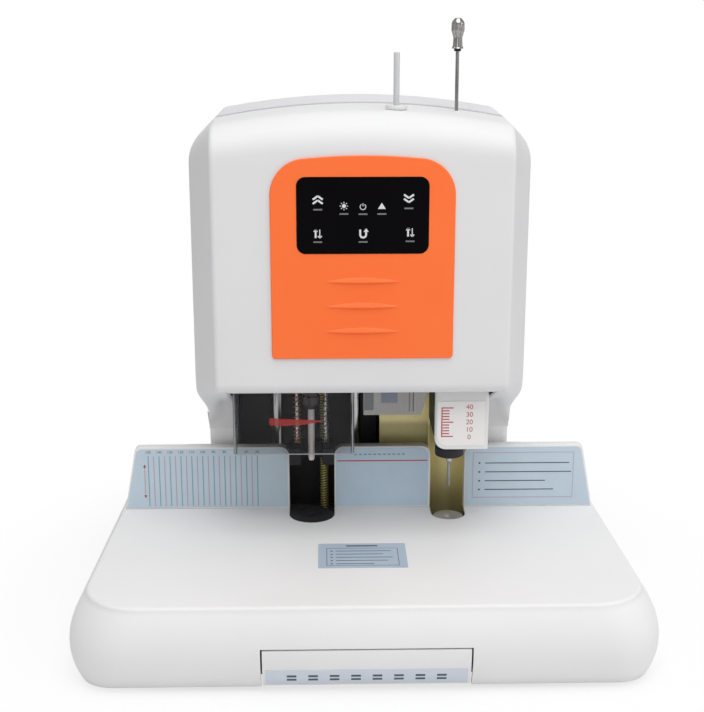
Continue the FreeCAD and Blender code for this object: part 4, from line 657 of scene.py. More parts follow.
rules = [(-14.0, 13.0, -80.6, -78.2), (-31.0, 30.0, -84.6, -84.1), (-31.0, 30.0, -119.9, -119.4),
         (-31.0, -30.5, -119.4, -84.6), (29.5, 30.0, -119.4, -84.6)]
for y, stop in ((-90.0, 24.0), (-96.5, 17.0), (-103.0, 25.0), (-109.5, 21.0), (-116.0, 9.0)):
    rules += [(-27.5, -25.7, y - 0.9, y + 0.9), (-23.0, stop, y - 0.5, y + 0.5)]
lay("platen_rules", *gathered([slab(box_outline(*rule), PLATEN_FILM_TOP, PLATEN_FILM_TOP + INK, 0.02, "XY")
                               for rule in rules]), "root", "printed_film", ink_dark)

# Frame.
# Two laser-cut steel cheeks, the beam under the platen, the bridge and the
# floor plate of the head, all zinc plated and screwed together.

steel_plate = surface("steel_plate", (166, 165, 162), (142, 141, 138), grain=900, stretch=(1.0, 1.0, 0.05),
                      cloud=25, satin=0.42, worn=0.14, depth=0.004, scuff=0.25, Metallic=0.6)


def painted_shade_by_level(material, marks):
    """Painted shade on a finish by level: marks are (level in mm, share of the colour that stays), joined by
    smooth steps."""
    tree = material.node_tree
    shader = next(node for node in tree.nodes if node.type == "BSDF_PRINCIPLED")
    tint = shader.inputs["Base Color"].links[0].from_socket
    place = step(tree, "TexCoord").outputs["Object"]
    level = step(tree, "SeparateXYZ", {0: place}).outputs[2]
    share = None
    for (low, start), (high, stop) in zip(marks, marks[1:]):
        part = step(tree, "MapRange", {0: level, 1: low * MM, 2: high * MM, 3: 0.0, 4: stop - start},
                    interpolation_type="SMOOTHSTEP").outputs[0]
        share = step(tree, "Math", {0: start if share is None else share, 1: part},
                     operation="ADD").outputs[0]
    mixed = step(tree, "Mix", {0: share, 6: BLACK, 7: tint}, data_type="RGBA")
    tree.links.new(mixed.outputs[2], shader.inputs["Base Color"])
    return material


# Painted shade on the olive back plate: darker low in the notch below the platen and again round the ram
# collar's level, where the recess lies in shade.
BACKPLATE_SHADE_SHARES = ((60.0, 0.56), (112.0, 1.0), (134.0, 0.68), (145.0, 0.60), (152.0, 1.0), (186.0, 1.0))
olive_plate = painted_shade_by_level(surface("olive_plate", (255, 242, 178), (234, 220, 156), grain=700, cloud=22,
                               stretch=(1.0, 1.0, 0.3), satin=0.36, worn=0.2, depth=0.004, scuff=0.2,
                               dust=(190, 178, 140), Metallic=0.3), BACKPLATE_SHADE_SHARES)
dark_steel = surface("dark_steel", (56, 54, 58), (38, 37, 41), grain=600, cloud=30, satin=0.5, worn=0.15,
                     depth=0.003, scuff=0.1, dust=(90, 90, 90), Metallic=0.2)
dress(steel_plate, "die_beam", "side_plates", "upper_bridge", "head_floor_plate")
dress(olive_plate, "rivet_backplate")
dress(dark_steel, "drill_back_shield")


def turned(profile, x, y, turns=48, closed=False, fluted=None):
    """A turned part: each point (radius, level) of the profile carried round an upright axis. fluted may
    change the radius by the angle and the level."""
    profile = np.asarray(profile, float)
    angle = np.linspace(0, 2 * math.pi, turns, endpoint=False)[None, :]
    radius, level = np.broadcast_arrays(profile[:, :1], profile[:, :1] * 0 + profile[:, 1:])
    radius = np.repeat(radius, turns, 1)
    level = np.repeat(level, turns, 1)
    if fluted:
        radius = fluted(radius, angle, level)
    points = np.stack((x + radius * np.cos(angle), y + radius * np.sin(angle), level), -1)
    return points.reshape(-1, 3), [grid_faces(len(profile), turns, wrap_rows=closed, wrap_columns=True)]


def pin(radius, low, high, x, y, bevel=0.4, turns=40):
    """A plain turned pin with its ends bevelled."""
    return turned(rounded([(0.0, low), (radius, low, bevel), (radius, high, bevel), (0.0, high)], 3, False),
                  x, y, turns)


def turned_piece(name, shape, x, y, body, slot, material, *nodes, steps=4, turns=56, closed=True):
    """A turned part of its own: the corners (radius, level) of its profile rounded, then carried round."""
    return lay(name, *turned(rounded(shape, steps, closed), x, y, turns, closed=closed), body, slot, material,
               replaces=nodes)


# Cutting pad and rivet die.
# The black nylon pad takes the end of the drill; the chromed die, warmed from
# below by a brass heater, forms the underside of the rivet.

black_nylon = surface("black_nylon", (38, 38, 41), (22, 22, 24), grain=2600, satin=0.5, worn=0.2, depth=0.03,
                      scuff=0.35, dust=(96, 96, 98))
chrome = surface("chrome", (206, 206, 206), (176, 177, 180), grain=1600, stretch=(0.02, 0.02, 1.0), cloud=50,
                 satin=0.12, worn=0.12, depth=0.004, scuff=0.2, dust=(150, 150, 150), Metallic=1.0)
heater_brass = surface("heater_brass", (196, 164, 92), (158, 128, 66), grain=1600, stretch=(0.02, 0.02, 1.0),
                       satin=0.3, worn=0.15, depth=0.01, Metallic=1.0)
dark_chrome = surface("dark_chrome", (176, 173, 171), (128, 126, 125), grain=1600, stretch=(0.02, 0.02, 1.0),
                      cloud=50, satin=0.14, worn=0.12, depth=0.004, scuff=0.2, dust=(120, 120, 120),
                      Metallic=1.0)
PAD = [(3.1, 65.5), (19.0, 65.5), (19.0, 71.5, 0.6), (12.0, 71.5), (11.7, 71.2), (11.4, 71.5),
       (3.1, 71.5, 0.4)]
CUP = [(4.0, 56.0), (20.3, 56.0), (20.3, 71.5, 0.4), (19.02, 71.5, 0.3), (19.02, 65.5), (4.0, 65.5)]
DIE = [(1.6, 60.0), (14.0, 60.0), (14.0, 69.5, 1.2), (5.0, 69.5, 0.8), (2.5, 68.3), (1.6, 67.2)]
turned_piece("cutting_pad", PAD, DRILL_X, STATION_Y, "root", "pad_nylon", black_nylon, "drill_pad", turns=72)
turned_piece("pad_cup", CUP, DRILL_X, STATION_Y, "root", "black_parts", black_nylon, "drill_pad_holder",
             turns=72)
die_steel = surface("die_steel", (196, 195, 192), (158, 157, 154), grain=1200, cloud=60, satin=0.38, worn=0.1,
                    depth=0.004, scuff=0.2, dust=(150, 148, 140), Metallic=0.4)
turned_piece("rivet_die", DIE, RIVET_X, STATION_Y, "root", "posts_chrome", die_steel, "lower_die", steps=6,
             turns=72)
dress(heater_brass, "lower_die_heater")

# Guide posts, lead screws and feed motors.
# Four ground and chromed posts guide the two slides. Each slide is driven by a
# rolled, yellow zinc lead screw with a small motor on top of the bridge.

POST_LOW, POST_HIGH, POST_BEVEL = 56.0, 400.0, 0.6
POSTS = ((5.5, -76.0, 40.0), (5.5, -4.0, 40.0), (5.0, 60.0, 54.0), (5.0, 100.0, 54.0))
lay("guide_posts_ground",
    *gathered([pin(radius, POST_LOW, POST_HIGH, x, y, POST_BEVEL) for radius, x, y in POSTS]),
    "root", "posts_chrome", chrome, replaces=("guide_posts",))
SCREW_RADIUS, THREAD_DEEP, SCREW_LEAD, THREAD_STARTS = 4.0, 0.45, 5.0, 2
SCREW_LOW, SCREW_HIGH, THREAD_STEP = 56.0, 418.0, 0.36


def rolled_thread(radius, angle, level):
    """A rolled thread: the radius falls by a rounded groove wherever level less lead times turn passes a
    pitch."""
    pitch = SCREW_LEAD / THREAD_STARTS
    phase = (level - SCREW_LEAD * angle / (2 * math.pi)) / pitch * 2 * math.pi
    fade = np.clip((level - level.min()) / 4.0, 0, 1) * np.clip((level.max() - level) / 4.0, 0, 1)
    return np.where(radius > 1.0, radius - THREAD_DEEP * fade * (0.5 - 0.5 * np.cos(phase)) ** 0.6, radius)


def painted_groove_shade(material, x, y):
    """Painted shade in the grooves of the thread about an axis: the finish darkens by the sine of level less
    lead times turn."""
    tree = material.node_tree
    shader = next(node for node in tree.nodes if node.type == "BSDF_PRINCIPLED")
    tint = shader.inputs["Base Color"].links[0].from_socket
    place = step(tree, "SeparateXYZ", {0: step(tree, "TexCoord").outputs["Object"]}).outputs
    across = step(tree, "Math", {0: place[0], 1: x * MM}, operation="SUBTRACT").outputs[0]
    ahead = step(tree, "Math", {0: place[1], 1: y * MM}, operation="SUBTRACT").outputs[0]
    turn = step(tree, "Math", {0: ahead, 1: across}, operation="ARCTAN2").outputs[0]
    climb = step(tree, "Math", {0: place[2], 1: 2 * math.pi * THREAD_STARTS / (SCREW_LEAD * MM)},
                 operation="MULTIPLY").outputs[0]
    phase = step(tree, "Math", {0: turn, 1: -float(THREAD_STARTS), 2: climb},
                 operation="MULTIPLY_ADD").outputs[0]
    crest = step(tree, "Math", {0: phase}, operation="COSINE").outputs[0]
    share = step(tree, "MapRange", {0: crest, 1: -0.6, 2: 0.8, 3: 0.12, 4: 1.0}).outputs[0]
    mixed = step(tree, "Mix", {0: share, 6: BLACK, 7: tint}, data_type="RGBA")
    tree.links.new(mixed.outputs[2], shader.inputs["Base Color"])
    return material


for name, x, y, body in (("drill_lead_screw", -32.5, 34.0, "drill_screw"),
                         ("rivet_lead_screw", 80.0, 54.0, "rivet_screw")):
    # The screw's zinc gets painted shade in its thread grooves.
    screw_zinc_olive = painted_groove_shade(surface(name + "_zinc", (222, 210, 132), (190, 178, 104), grain=900,
                                       satin=0.35,
                                       worn=0.15, depth=0.005, scuff=0.1, dust=(160, 150, 120), Metallic=0.3),
                               x, y)
    levels = np.arange(SCREW_LOW, SCREW_HIGH + 0.01, THREAD_STEP)
    profile = np.vstack(((0.0, SCREW_LOW), np.column_stack((np.full(len(levels), SCREW_RADIUS), levels)),
                         (0.0, SCREW_HIGH)))
    lay(name + "_rolled", *turned(profile, x, y, 24, fluted=rolled_thread), body, "bed_steel",
        screw_zinc_olive,
        replaces=(name,), sharp=60.0)
motor_grey = surface("motor_grey", (120, 122, 126), (88, 90, 94), grain=1800, cloud=40, satin=0.35, worn=0.2,
                     depth=0.01, Metallic=0.7)
dress(motor_grey, "feed_motors")

# Drill unit.
# A cast alloy carriage slides on two posts. Its motor turns the spindle by a flat
# belt; the chuck holds a hollow bit of hardened steel.

cast_alloy = surface("cast_alloy", (104, 103, 98), (82, 81, 77), grain=700, cloud=60, satin=0.55, worn=0.15,
                     depth=0.008, scuff=0.15, Metallic=0.5)
bearing_steel = surface("bearing_steel", (170, 171, 173), (140, 141, 144), grain=1600,
                        stretch=(0.02, 0.02, 1.0), satin=0.2, worn=0.12, Metallic=1.0)
motor_black = surface("motor_black", (58, 59, 62), (38, 39, 42), grain=1800, cloud=40, satin=0.4, worn=0.2,
                      Metallic=0.4)
belt_rubber = surface("belt_rubber", (36, 36, 38), (24, 24, 26), grain=3000, satin=0.7, worn=0.15, depth=0.03)
spindle_steel = surface("spindle_steel", (104, 100, 98), (70, 67, 66), grain=1600, stretch=(0.02, 0.02, 1.0),
                        cloud=60, satin=0.25, worn=0.2, depth=0.01, scuff=0.3, Metallic=0.9)
dress(cast_alloy, "drill_carriage", "rivet_carriage")
dress(heater_brass, "drill_lead_nut", "rivet_lead_nut")
dress(bearing_steel, "spindle_bearings")
dress(motor_black, "drill_motor")
dress(cast_alloy, "motor_pulley", "spindle_pulley")
dress(belt_rubber, "drill_belt")
CHUCK = [(3.02, 182.0), (3.02, 174.0), (4.8, 174.0, 0.4), (8.0, 179.0, 0.6), (8.0, 186.0), (7.4, 186.6),
         (7.4, 188.0), (8.0, 188.6), (8.0, 199.0, 0.8), (4.0, 199.0), (4.0, 303.0, 0.4), (0.0, 303.0),
         (0.0, 182.0)]
BIT = [(2.2, 125.0), (3.0, 128.0), (3.0, 182.0), (2.2, 182.0)]
turned_piece("spindle_turned", CHUCK, DRILL_X, STATION_Y, "drill_spindle", "spindle_dark", spindle_steel,
             "spindle")
# The hollow bit's steel is given a near-white, barely metallic colour: a painted highlight for the bright bar
# it shows.
bit_steel_painted_highlight = surface("bit_steel_painted_highlight", (236, 228, 224), (218, 210, 206), grain=1500, stretch=(0.02, 0.02, 1.0),
                    cloud=60,
                    satin=0.4, worn=0.1, depth=0.003, scuff=0.1, Metallic=0.1)
turned_piece("hollow_bit", BIT, DRILL_X, STATION_Y, "drill_spindle", "posts_chrome", bit_steel_painted_highlight, "drill_bit",
             steps=3, turns=40)

# Press foot.
# A black forked foot holds the paper down round the bit. It hangs on two steel
# rods and is pressed down by two wire springs.

FOOT_LEFT, FOOT_RIGHT, FOOT_FRONT, FOOT_BACK, FORK_HALF = -64.0, -24.0, -20.0, 12.0, 9.5
FOOT_LOW, FOOT_HIGH, FOOT_EDGE, FOOT_CORNER, FORK_CORNER = 125.0, 140.0, 0.5, 3.0, 1.0
fork_turn = np.linspace(0, math.pi, 21)[:, None]
fork = np.hstack((DRILL_X + FORK_HALF * np.cos(fork_turn), STATION_Y + FORK_HALF * np.sin(fork_turn)))
foot_left = rounded([(FOOT_RIGHT, STATION_Y), (FOOT_RIGHT, FOOT_BACK, FOOT_CORNER),
                     (FOOT_LEFT, FOOT_BACK, FOOT_CORNER), (FOOT_LEFT, FOOT_FRONT, FOOT_CORNER),
                     (DRILL_X - FORK_HALF, FOOT_FRONT, FORK_CORNER), (DRILL_X - FORK_HALF, STATION_Y)], 5,
                    False)
foot_right = rounded([(DRILL_X + FORK_HALF, STATION_Y), (DRILL_X + FORK_HALF, FOOT_FRONT, FORK_CORNER),
                      (FOOT_RIGHT, FOOT_FRONT, FOOT_CORNER), (FOOT_RIGHT, STATION_Y + 1.0)], 5, False)
foot_outline = np.vstack((foot_left, fork[::-1][1:-1], foot_right[:-1]))
black_paint = surface("black_paint", (30, 30, 32), (20, 20, 22), grain=2400, cloud=40, satin=0.45, worn=0.2,
                      depth=0.01, scuff=0.15, dust=(80, 80, 82), Specular_IOR_Level=0.3)
lay("press_foot_fork", *slab(foot_outline, FOOT_LOW, FOOT_HIGH, FOOT_EDGE, "XY"), "press_foot", "black_parts",
    black_paint, replaces=("press_foot",))
ROD_OFFSET, ROD_RADIUS, ROD_HIGH = 12.7, 1.5, 212.0
lay("press_foot_pins", *gathered([pin(ROD_RADIUS, FOOT_HIGH, ROD_HIGH, DRILL_X + side * ROD_OFFSET, STATION_Y,
                                      0.3, 24) for side in (-1, 1)]), "press_foot", "posts_chrome", chrome,
    replaces=("press_foot_rods",))
SPRING_RADIUS, SPRING_WIRE, SPRING_LOW, SPRING_HIGH, SPRING_CURLS = 2.8, 0.8, 140.0, 200.0, 15
SPRING_PRESSED, SPRING_STEPS, SPRING_CLOSING = 15.0, 28, 0.035


def wire_coil(x, y):
    """A wound wire: its centre climbs evenly round the rod with closed end turns, and a small circle is
    carried along it, square to the slope."""
    turn = np.linspace(0, SPRING_CURLS * 2 * math.pi, SPRING_CURLS * SPRING_STEPS + 1)
    share = turn / turn[-1]
    climb = SPRING_LOW + SPRING_WIRE / 2 + (SPRING_HIGH - SPRING_LOW - SPRING_WIRE) * (
        share - SPRING_CLOSING * np.sin(2 * math.pi * share))
    outward = np.column_stack((np.cos(turn), np.sin(turn), np.zeros_like(turn)))
    centre = outward * SPRING_RADIUS + np.column_stack((np.full_like(turn, x), np.full_like(turn, y), climb))
    slope = np.gradient(climb, turn * SPRING_RADIUS)
    lift = np.column_stack((np.sin(turn) * slope, -np.cos(turn) * slope, np.ones_like(turn)))
    lift /= np.linalg.norm(lift, axis=1)[:, None]
    ring = np.linspace(0, 2 * math.pi, 8, endpoint=False)[None, :, None]
    points = centre[:,
                    None] + SPRING_WIRE / 2 * (np.cos(ring) * outward[:, None] + np.sin(ring) * lift[:, None])
    rows = len(turn)
    return points.reshape(-1, 3), [grid_faces(rows, 8, wrap_columns=True), [list(range(8))[::-1]],
                                   [list(range((rows - 1) * 8, rows * 8))]]


spring_copper = surface("spring_copper", (240, 164, 112), (214, 130, 84), grain=1500, cloud=60, satin=0.3,
                        worn=0.15, Metallic=0.4)
spring_steel = surface("spring_steel", (188, 186, 184), (150, 148, 148), grain=1500, cloud=60, satin=0.22,
                       worn=0.15, Metallic=0.9)
left_spring = lay("press_spring_left", *wire_coil(DRILL_X - ROD_OFFSET, STATION_Y), "press_foot",
                  "spring_steel",
                  spring_copper)
right_spring = lay("press_spring_right", *wire_coil(DRILL_X + ROD_OFFSET, STATION_Y), "press_foot",
                   "spring_steel", spring_steel, replaces=("press_foot_springs",))
for spring in (left_spring, right_spring):
    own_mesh(spring)

# Rivet unit.
# The second slide pushes the hollow ram down. Its heated tip and black collar
# press the tube flat; a thin locating rod runs through it to a fluted knob.

RAM = [(1.6, 123.0), (3.0, 123.0, 0.5), (3.0, 150.0), (8.0, 150.0, 0.6), (8.0, 324.0, 0.6), (1.6, 324.0)]
COLLAR = [(3.02, 129.0), (13.0, 129.0, 1.5), (13.0, 137.0), (12.5, 137.5), (12.5, 139.0), (13.0, 139.5),
          (13.0, 150.0, 1.5), (3.02, 150.0)]
NEEDLE = [(0.0, 98.0), (0.75, 98.0), (1.5, 101.0), (1.5, 487.0), (0.0, 487.0)]
KNOB = [(0.0, 488.0), (4.9, 488.1, 0.4), (4.0, 491.0, 2.0), (3.7, 497.0, 5.0), (5.5, 503.0, 4.0),
        (5.4, 509.5, 3.5),
        (2.6, 513.0, 2.4), (0.0, 513.0)]
KNOB_RING = [(1.4, 486.0), (2.9, 486.0, 0.4), (2.9, 488.1, 0.2), (1.4, 488.1)]
turned_piece("ram_turned", RAM, RIVET_X, STATION_Y, "rivet_slide", "posts_chrome", chrome, "rivet_ram")
turned_piece("collar_turned", COLLAR, RIVET_X, STATION_Y, "rivet_slide", "black_parts", black_nylon,
             "ram_collar",
             steps=5, turns=64)
dress(heater_brass, "ram_guide_bush")
turned_piece("locating_needle", NEEDLE, RIVET_X, STATION_Y, "locating_rod", "posts_chrome", dark_chrome,
             "locating_rod", steps=3, turns=24, closed=False)
KNOB_FLUTES, FLUTE_DEEP, FLUTE_LOW, FLUTE_HIGH, FLUTE_FADE = 10, 0.16, 488.4, 508.0, 5.0
knob_chrome = surface("knob_chrome", (196, 193, 192), (150, 147, 146), grain=400, cloud=50, satin=0.1,
                      worn=0.08,
                      depth=0.002, scuff=0.1, dust=(120, 120, 120), Metallic=1.0)
knob_shape = rounded(KNOB, 9, False)
knob_run = np.concatenate(([0.0], np.cumsum(np.linalg.norm(np.diff(knob_shape, axis=0), axis=1))))
knob_stations = np.linspace(0, knob_run[-1], 90)
knob_profile = np.column_stack([np.interp(knob_stations, knob_run, knob_shape[:, axis]) for axis in (0, 1)])


def knob_flutes(radius, angle, level):
    """Flutes up the knob's skirt and waist: the radius dips by a rounded cosine of the angle."""
    fade = np.clip(level - FLUTE_LOW, 0, 1) * np.clip((FLUTE_HIGH - level) / FLUTE_FADE, 0, 1)
    return radius * (1 - FLUTE_DEEP * fade * (0.5 - 0.5 * np.cos(KNOB_FLUTES * angle)))


lay("fluted_knob", *turned(knob_profile, RIVET_X, STATION_Y, 84, fluted=knob_flutes), "locating_rod",
    "posts_chrome", knob_chrome, replaces=("rod_knob",))
turned_piece("knob_ring", KNOB_RING, RIVET_X, STATION_Y, "locating_rod", "black_parts", black_paint, turns=32)

# Ram shroud.
# A white moulded hood hangs from the floor plate round the ram. A thin black sheet stands just off its
# left side and makes that side dark, and its front has a white label with a small red scale.

SHROUD_LEFT, SHROUD_RIGHT, SHROUD_FRONT, SHROUD_BACK = 64.0, 111.0, -45.0, 14.0
SHROUD_LOW, SHROUD_HIGH, SHROUD_ROUND, SHROUD_WALL = 148.0, 204.0, 10.0, 2.5
hood_source = rounded([(SHROUD_LEFT, SHROUD_BACK), (SHROUD_LEFT, SHROUD_FRONT, 3.0),
                       (SHROUD_RIGHT, SHROUD_FRONT, 3.0), (SHROUD_RIGHT, SHROUD_BACK)], 8, False)
run_length = np.concatenate(([0.0], np.cumsum(np.linalg.norm(np.diff(hood_source, axis=0), axis=1))))
stations = np.unique(np.concatenate((np.linspace(0, run_length[-1], 90), run_length)).round(4))
hood_x = np.interp(stations, run_length, hood_source[:, 0])
hood_y = np.interp(stations, run_length, hood_source[:, 1])
inside = np.clip(SHROUD_ROUND - (hood_x - SHROUD_LEFT), 0, SHROUD_ROUND)
hood_low = SHROUD_LOW + SHROUD_ROUND - np.sqrt(SHROUD_ROUND ** 2 - inside ** 2)
rise = np.linspace(0, 1, 12)[:, None]
hood_points = np.stack((np.broadcast_to(hood_x, (12, len(hood_x))),
                        np.broadcast_to(hood_y, (12, len(hood_x))),
                        hood_low + (SHROUD_HIGH - hood_low) * rise), -1)
lay("ram_hood", hood_points.reshape(-1, 3), [grid_faces(12, len(hood_x))], "root", "cover_white", cover_white,
    replaces=("ram_shroud",), wall=SHROUD_WALL)
FLANK_FRONT, FLANK_LOW, FLANK_HIGH = SHROUD_FRONT + 4.5, SHROUD_LOW + SHROUD_ROUND + 0.8, SHROUD_HIGH - 0.5
FLANK_STAND, FLANK_THICK = 0.4, 0.35
flank_y, flank_level = np.meshgrid(np.linspace(SHROUD_BACK, FLANK_FRONT, 24),
                                   np.linspace(FLANK_LOW, FLANK_HIGH, 8))
flank_points = np.stack((np.full_like(flank_y, SHROUD_LEFT - FLANK_STAND), flank_y, flank_level), -1)
lay("hood_flank", flank_points.reshape(-1, 3), [grid_faces(8, 24)], "root", "black_parts", black_paint,
    wall=FLANK_THICK)
label_white = surface("label_white", (246, 243, 242), (238, 235, 234), grain=2200, satin=0.4, worn=0.08,
                      depth=0.003, scuff=0.08)
label_face = SHROUD_FRONT - SHEET_THICK
label_outline = rounded([(66.0, 192.0, 1.0), (66.0, 151.5, 9.0), (107.5, 151.5, 1.5), (107.5, 192.0, 1.0)], 8)
lay("hood_label", *slab(label_outline, label_face, SHROUD_FRONT, 0.1), "root", "printed_film", label_white)
SCALE_X, SCALE_LOW, SCALE_HIGH, LONG_TICK, SHORT_TICK, TICK_HALF = 70.5, 160.0, 186.0, 9.5, 6.0, 0.5
ticks = [bar(SCALE_X, SCALE_X + (LONG_TICK if index % 5 == 0 else SHORT_TICK), level - TICK_HALF,
             level + TICK_HALF, label_face) for index,
         level in enumerate(np.linspace(SCALE_LOW, SCALE_HIGH, 11))]
ticks.append(bar(SCALE_X - 1.0, SCALE_X, SCALE_LOW - TICK_HALF, SCALE_HIGH + TICK_HALF, label_face))
lay("hood_ticks", *gathered(ticks), "root", "printed_film", red_ink)
lettering("hood_numbers", [("%d" % (10 * index), 94.0, level - 2.2)
                           for index, level in enumerate(np.linspace(159.5, 187.0, 5))], 6.2, red_ink, "root",
          on_front(label_face))

# Tube cutter and tube feed.
# A steel block guides the plastic tube, and a blade pulled by a magnet cuts it.
# The white tube comes down a guide from the dished bush on top.

dress(steel_plate, "cutter_block", "tube_guide")
CUTTER_FACE = -39.0
cover_blue = surface("cover_blue", (126, 133, 148), (112, 119, 134), grain=1200, satin=0.4, worn=0.1,
                     depth=0.004)
lay("cutter_cover", *slab(box_outline(17.4, 31.4, 189.0, 201.5, 0.8), CUTTER_FACE - 0.5, CUTTER_FACE, 0.15),
    "root",
    "screw_zinc", cover_blue)
edge_steel = surface("edge_steel", (120, 122, 126), (96, 98, 102), grain=1200, satin=0.35, worn=0.1,
                     depth=0.004,
                     Metallic=0.6)
lay("cutter_gibs",
    *gathered([slab(box_outline(*edges, 0.4, 3), CUTTER_FACE - 0.3, CUTTER_FACE, 0.1) for edges in
               ((2.6, 10.8, 182.5, 203.5), (41.6, 42.6, 181.0, 203.5), (45.0, 45.6, 181.0, 203.5))]),
    "root", "screw_zinc", edge_steel)
dress(bearing_steel, "cutter_blade", "cutter_plunger")
dress(motor_black, "cutter_solenoid")
tube_plastic = surface("tube_plastic", (205, 206, 207), (191, 192, 194), grain=1800, stretch=(1.0, 1.0, 0.05),
                       satin=0.22, worn=0.1, depth=0.004, scuff=0.05)
TUBE_X, TUBE_Y = 28.8, -30.0
TUBE = [(1.6, 190.0), (2.5, 190.0, 0.2), (2.5, 486.0, 0.2), (1.6, 486.0)]
turned_piece("plastic_tube", TUBE, TUBE_X, TUBE_Y, "rivet_tube", "tube_white", tube_plastic, "rivet_tube",
             steps=3,
             turns=32)

# Drill guard.
# A smoky clear sheet, folded round the drill on three sides, held by three
# small screws on the floor plate's flange.

GUARD_LEFT, GUARD_RIGHT, GUARD_FRONT, GUARD_BACK = -112.0, -6.0, -42.5, 10.0
GUARD_LOW, GUARD_HIGH, GUARD_THICK = 143.0, 220.0, 2.5
guard_outer = rounded([(GUARD_LEFT, GUARD_BACK), (GUARD_LEFT, GUARD_FRONT, 5.0),
                       (GUARD_RIGHT, GUARD_FRONT, 5.0),
                       (GUARD_RIGHT, GUARD_BACK)], 6, False)
guard_inner = rounded([(GUARD_RIGHT - GUARD_THICK, GUARD_BACK),
                       (GUARD_RIGHT - GUARD_THICK, GUARD_FRONT + GUARD_THICK, 2.5),
                       (GUARD_LEFT + GUARD_THICK, GUARD_FRONT + GUARD_THICK, 2.5),
                       (GUARD_LEFT + GUARD_THICK, GUARD_BACK)], 6, False)


def smoky_sheet(name, colour, least, most, gloss):
    """A tinted clear plastic: more of it shows where it is seen at a slant, and there its tint turns
    paler, a painted reflection.
    """
    material = bpy.data.materials.new(name)
    material.use_nodes = True
    tree = material.node_tree
    tree.nodes.clear()
    where = step(tree, "TexCoord").outputs["Object"]
    haze = step(tree, "TexNoise", {"Vector": where, "Scale": 30.0, "Detail": 3.0})
    dull = step(tree, "MapRange", {0: haze.outputs[0], 1: 0.3, 2: 0.7, 3: gloss, 4: gloss + 0.08})
    slant = step(tree, "LayerWeight", {"Blend": 0.35})
    cover = step(tree, "MapRange", {0: slant.outputs["Facing"], 1: 0.0, 2: 1.0, 3: least, 4: most})
    # Painted reflection: the tint turns pale grey towards grazing angles.
    pale = step(tree, "MapRange", {0: slant.outputs["Facing"], 1: 0.35, 2: 0.85, 3: 0.0, 4: 1.0})
    tint = step(tree, "Mix", {0: pale.outputs[0], 6: tone(*colour), 7: tone(158, 158, 160)}, data_type="RGBA")
    ripple = step(tree, "Bump", {"Height": haze.outputs[0], "Distance": 0.0001, "Strength": 0.4})
    shader = step(tree, "BsdfPrincipled", {"Base Color": tint.outputs[2], "Roughness": dull.outputs[0],
                                           "Alpha": cover.outputs[0], "Normal": ripple.outputs[0],
                                           "IOR": 1.5})
    step(tree, "OutputMaterial", {0: shader.outputs[0]})
    return material


smoke = smoky_sheet("smoke", (50, 50, 53), 0.12, 0.8, 0.04)
# The pale smoky finish paints the highlight caught in the sheet's cut edges and at its folds.
smoke_edge_highlight = smoky_sheet("smoke_edge_highlight", (176, 178, 180), 0.75, 0.95, 0.2)
guard_points, guard_faces = slab(np.vstack((guard_outer, guard_inner)), GUARD_LOW, GUARD_HIGH, 0.3, "XY")
guard_which = np.concatenate([np.zeros(len(guard_faces[0])), [1.0], [1.0]])
lay("guard_folded", guard_points, guard_faces, "root", "guard_clear", smoke, smoke_edge_highlight,
    replaces=("drill_guard",), which=guard_which)
# Pale strips down the front at both folds and along the bottom edge: painted highlights.
guard_highlight_strips = [slab(box_outline(GUARD_LEFT + 1.0, GUARD_RIGHT - 1.0, GUARD_LOW + 0.2, GUARD_LOW + 1.0, 0.3, 3),
                   GUARD_FRONT - 0.15, GUARD_FRONT + 0.05, 0.05)]
guard_highlight_strips += [slab(box_outline(x, x + 0.8, GUARD_LOW + 1.0, GUARD_HIGH - 18.0, 0.3, 3), GUARD_FRONT - 0.15,
                    GUARD_FRONT + 0.05, 0.05) for x in (GUARD_LEFT + 1.2, GUARD_RIGHT - 2.0)]
lay("guard_painted_highlights", *gathered(guard_highlight_strips), "root", "guard_clear", smoke_edge_highlight)
guard_red = smoky_sheet("guard_red", (176, 44, 38), 0.6, 0.85, 0.2)
band = rounded([(-80.0, 170.2), (-66.0, 169.6), (-50.0, 170.6), (-33.0, 173.6), (-33.0, 174.4),
                (-50.0, 175.4),
                (-66.0, 176.0), (-80.0, 177.0, 1.0)], 3)
lay("guard_band", *slab(band, GUARD_FRONT - 0.12, GUARD_FRONT - 0.01, 0.03), "root", "printed_film",
    guard_red)
screw_zinc = surface("screw_zinc", (150, 150, 148), (110, 110, 110), grain=1500, satin=0.3, worn=0.15,
                     Metallic=0.9)
dress(screw_zinc, "guard_screws")

# Mains parts.
# Transformer and power board stand on the base plate; the inlet with its rocker
# is let into the back of the neck.

dress(dark_steel, "transformer")
board_green = surface("board_green", (52, 104, 70), (36, 80, 52), grain=1200, cloud=90, satin=0.35, worn=0.2)
dress(board_green, "power_board", "control_board")
black_plastic = surface("black_plastic", (40, 40, 42), (28, 28, 30), grain=3000, satin=0.45, worn=0.12,
                        depth=0.02)
dress(black_plastic, "power_inlet")
dress(black_nylon, "power_rocker")

# Neck cover.
# A white moulding round the column. It widens at the top to meet the head, is
# open in front between the two stations, and has a hole behind for the inlet.

NECK_HALF, NECK_FRONT, NECK_BACK, NECK_LOW, NECK_HIGH = 138.0, 24.0, 155.0, 72.0, 190.0
NECK_FLARE, FLARE_FROM, NECK_CORNER, FRONT_CORNER, BACK_SHARE = 9.0, 158.0, 14.0, 5.0, 0.8
NECK_OPEN = (-112.0, 102.0)
INLET_HOLE = (46.0, 74.0, 80.0, 128.0)


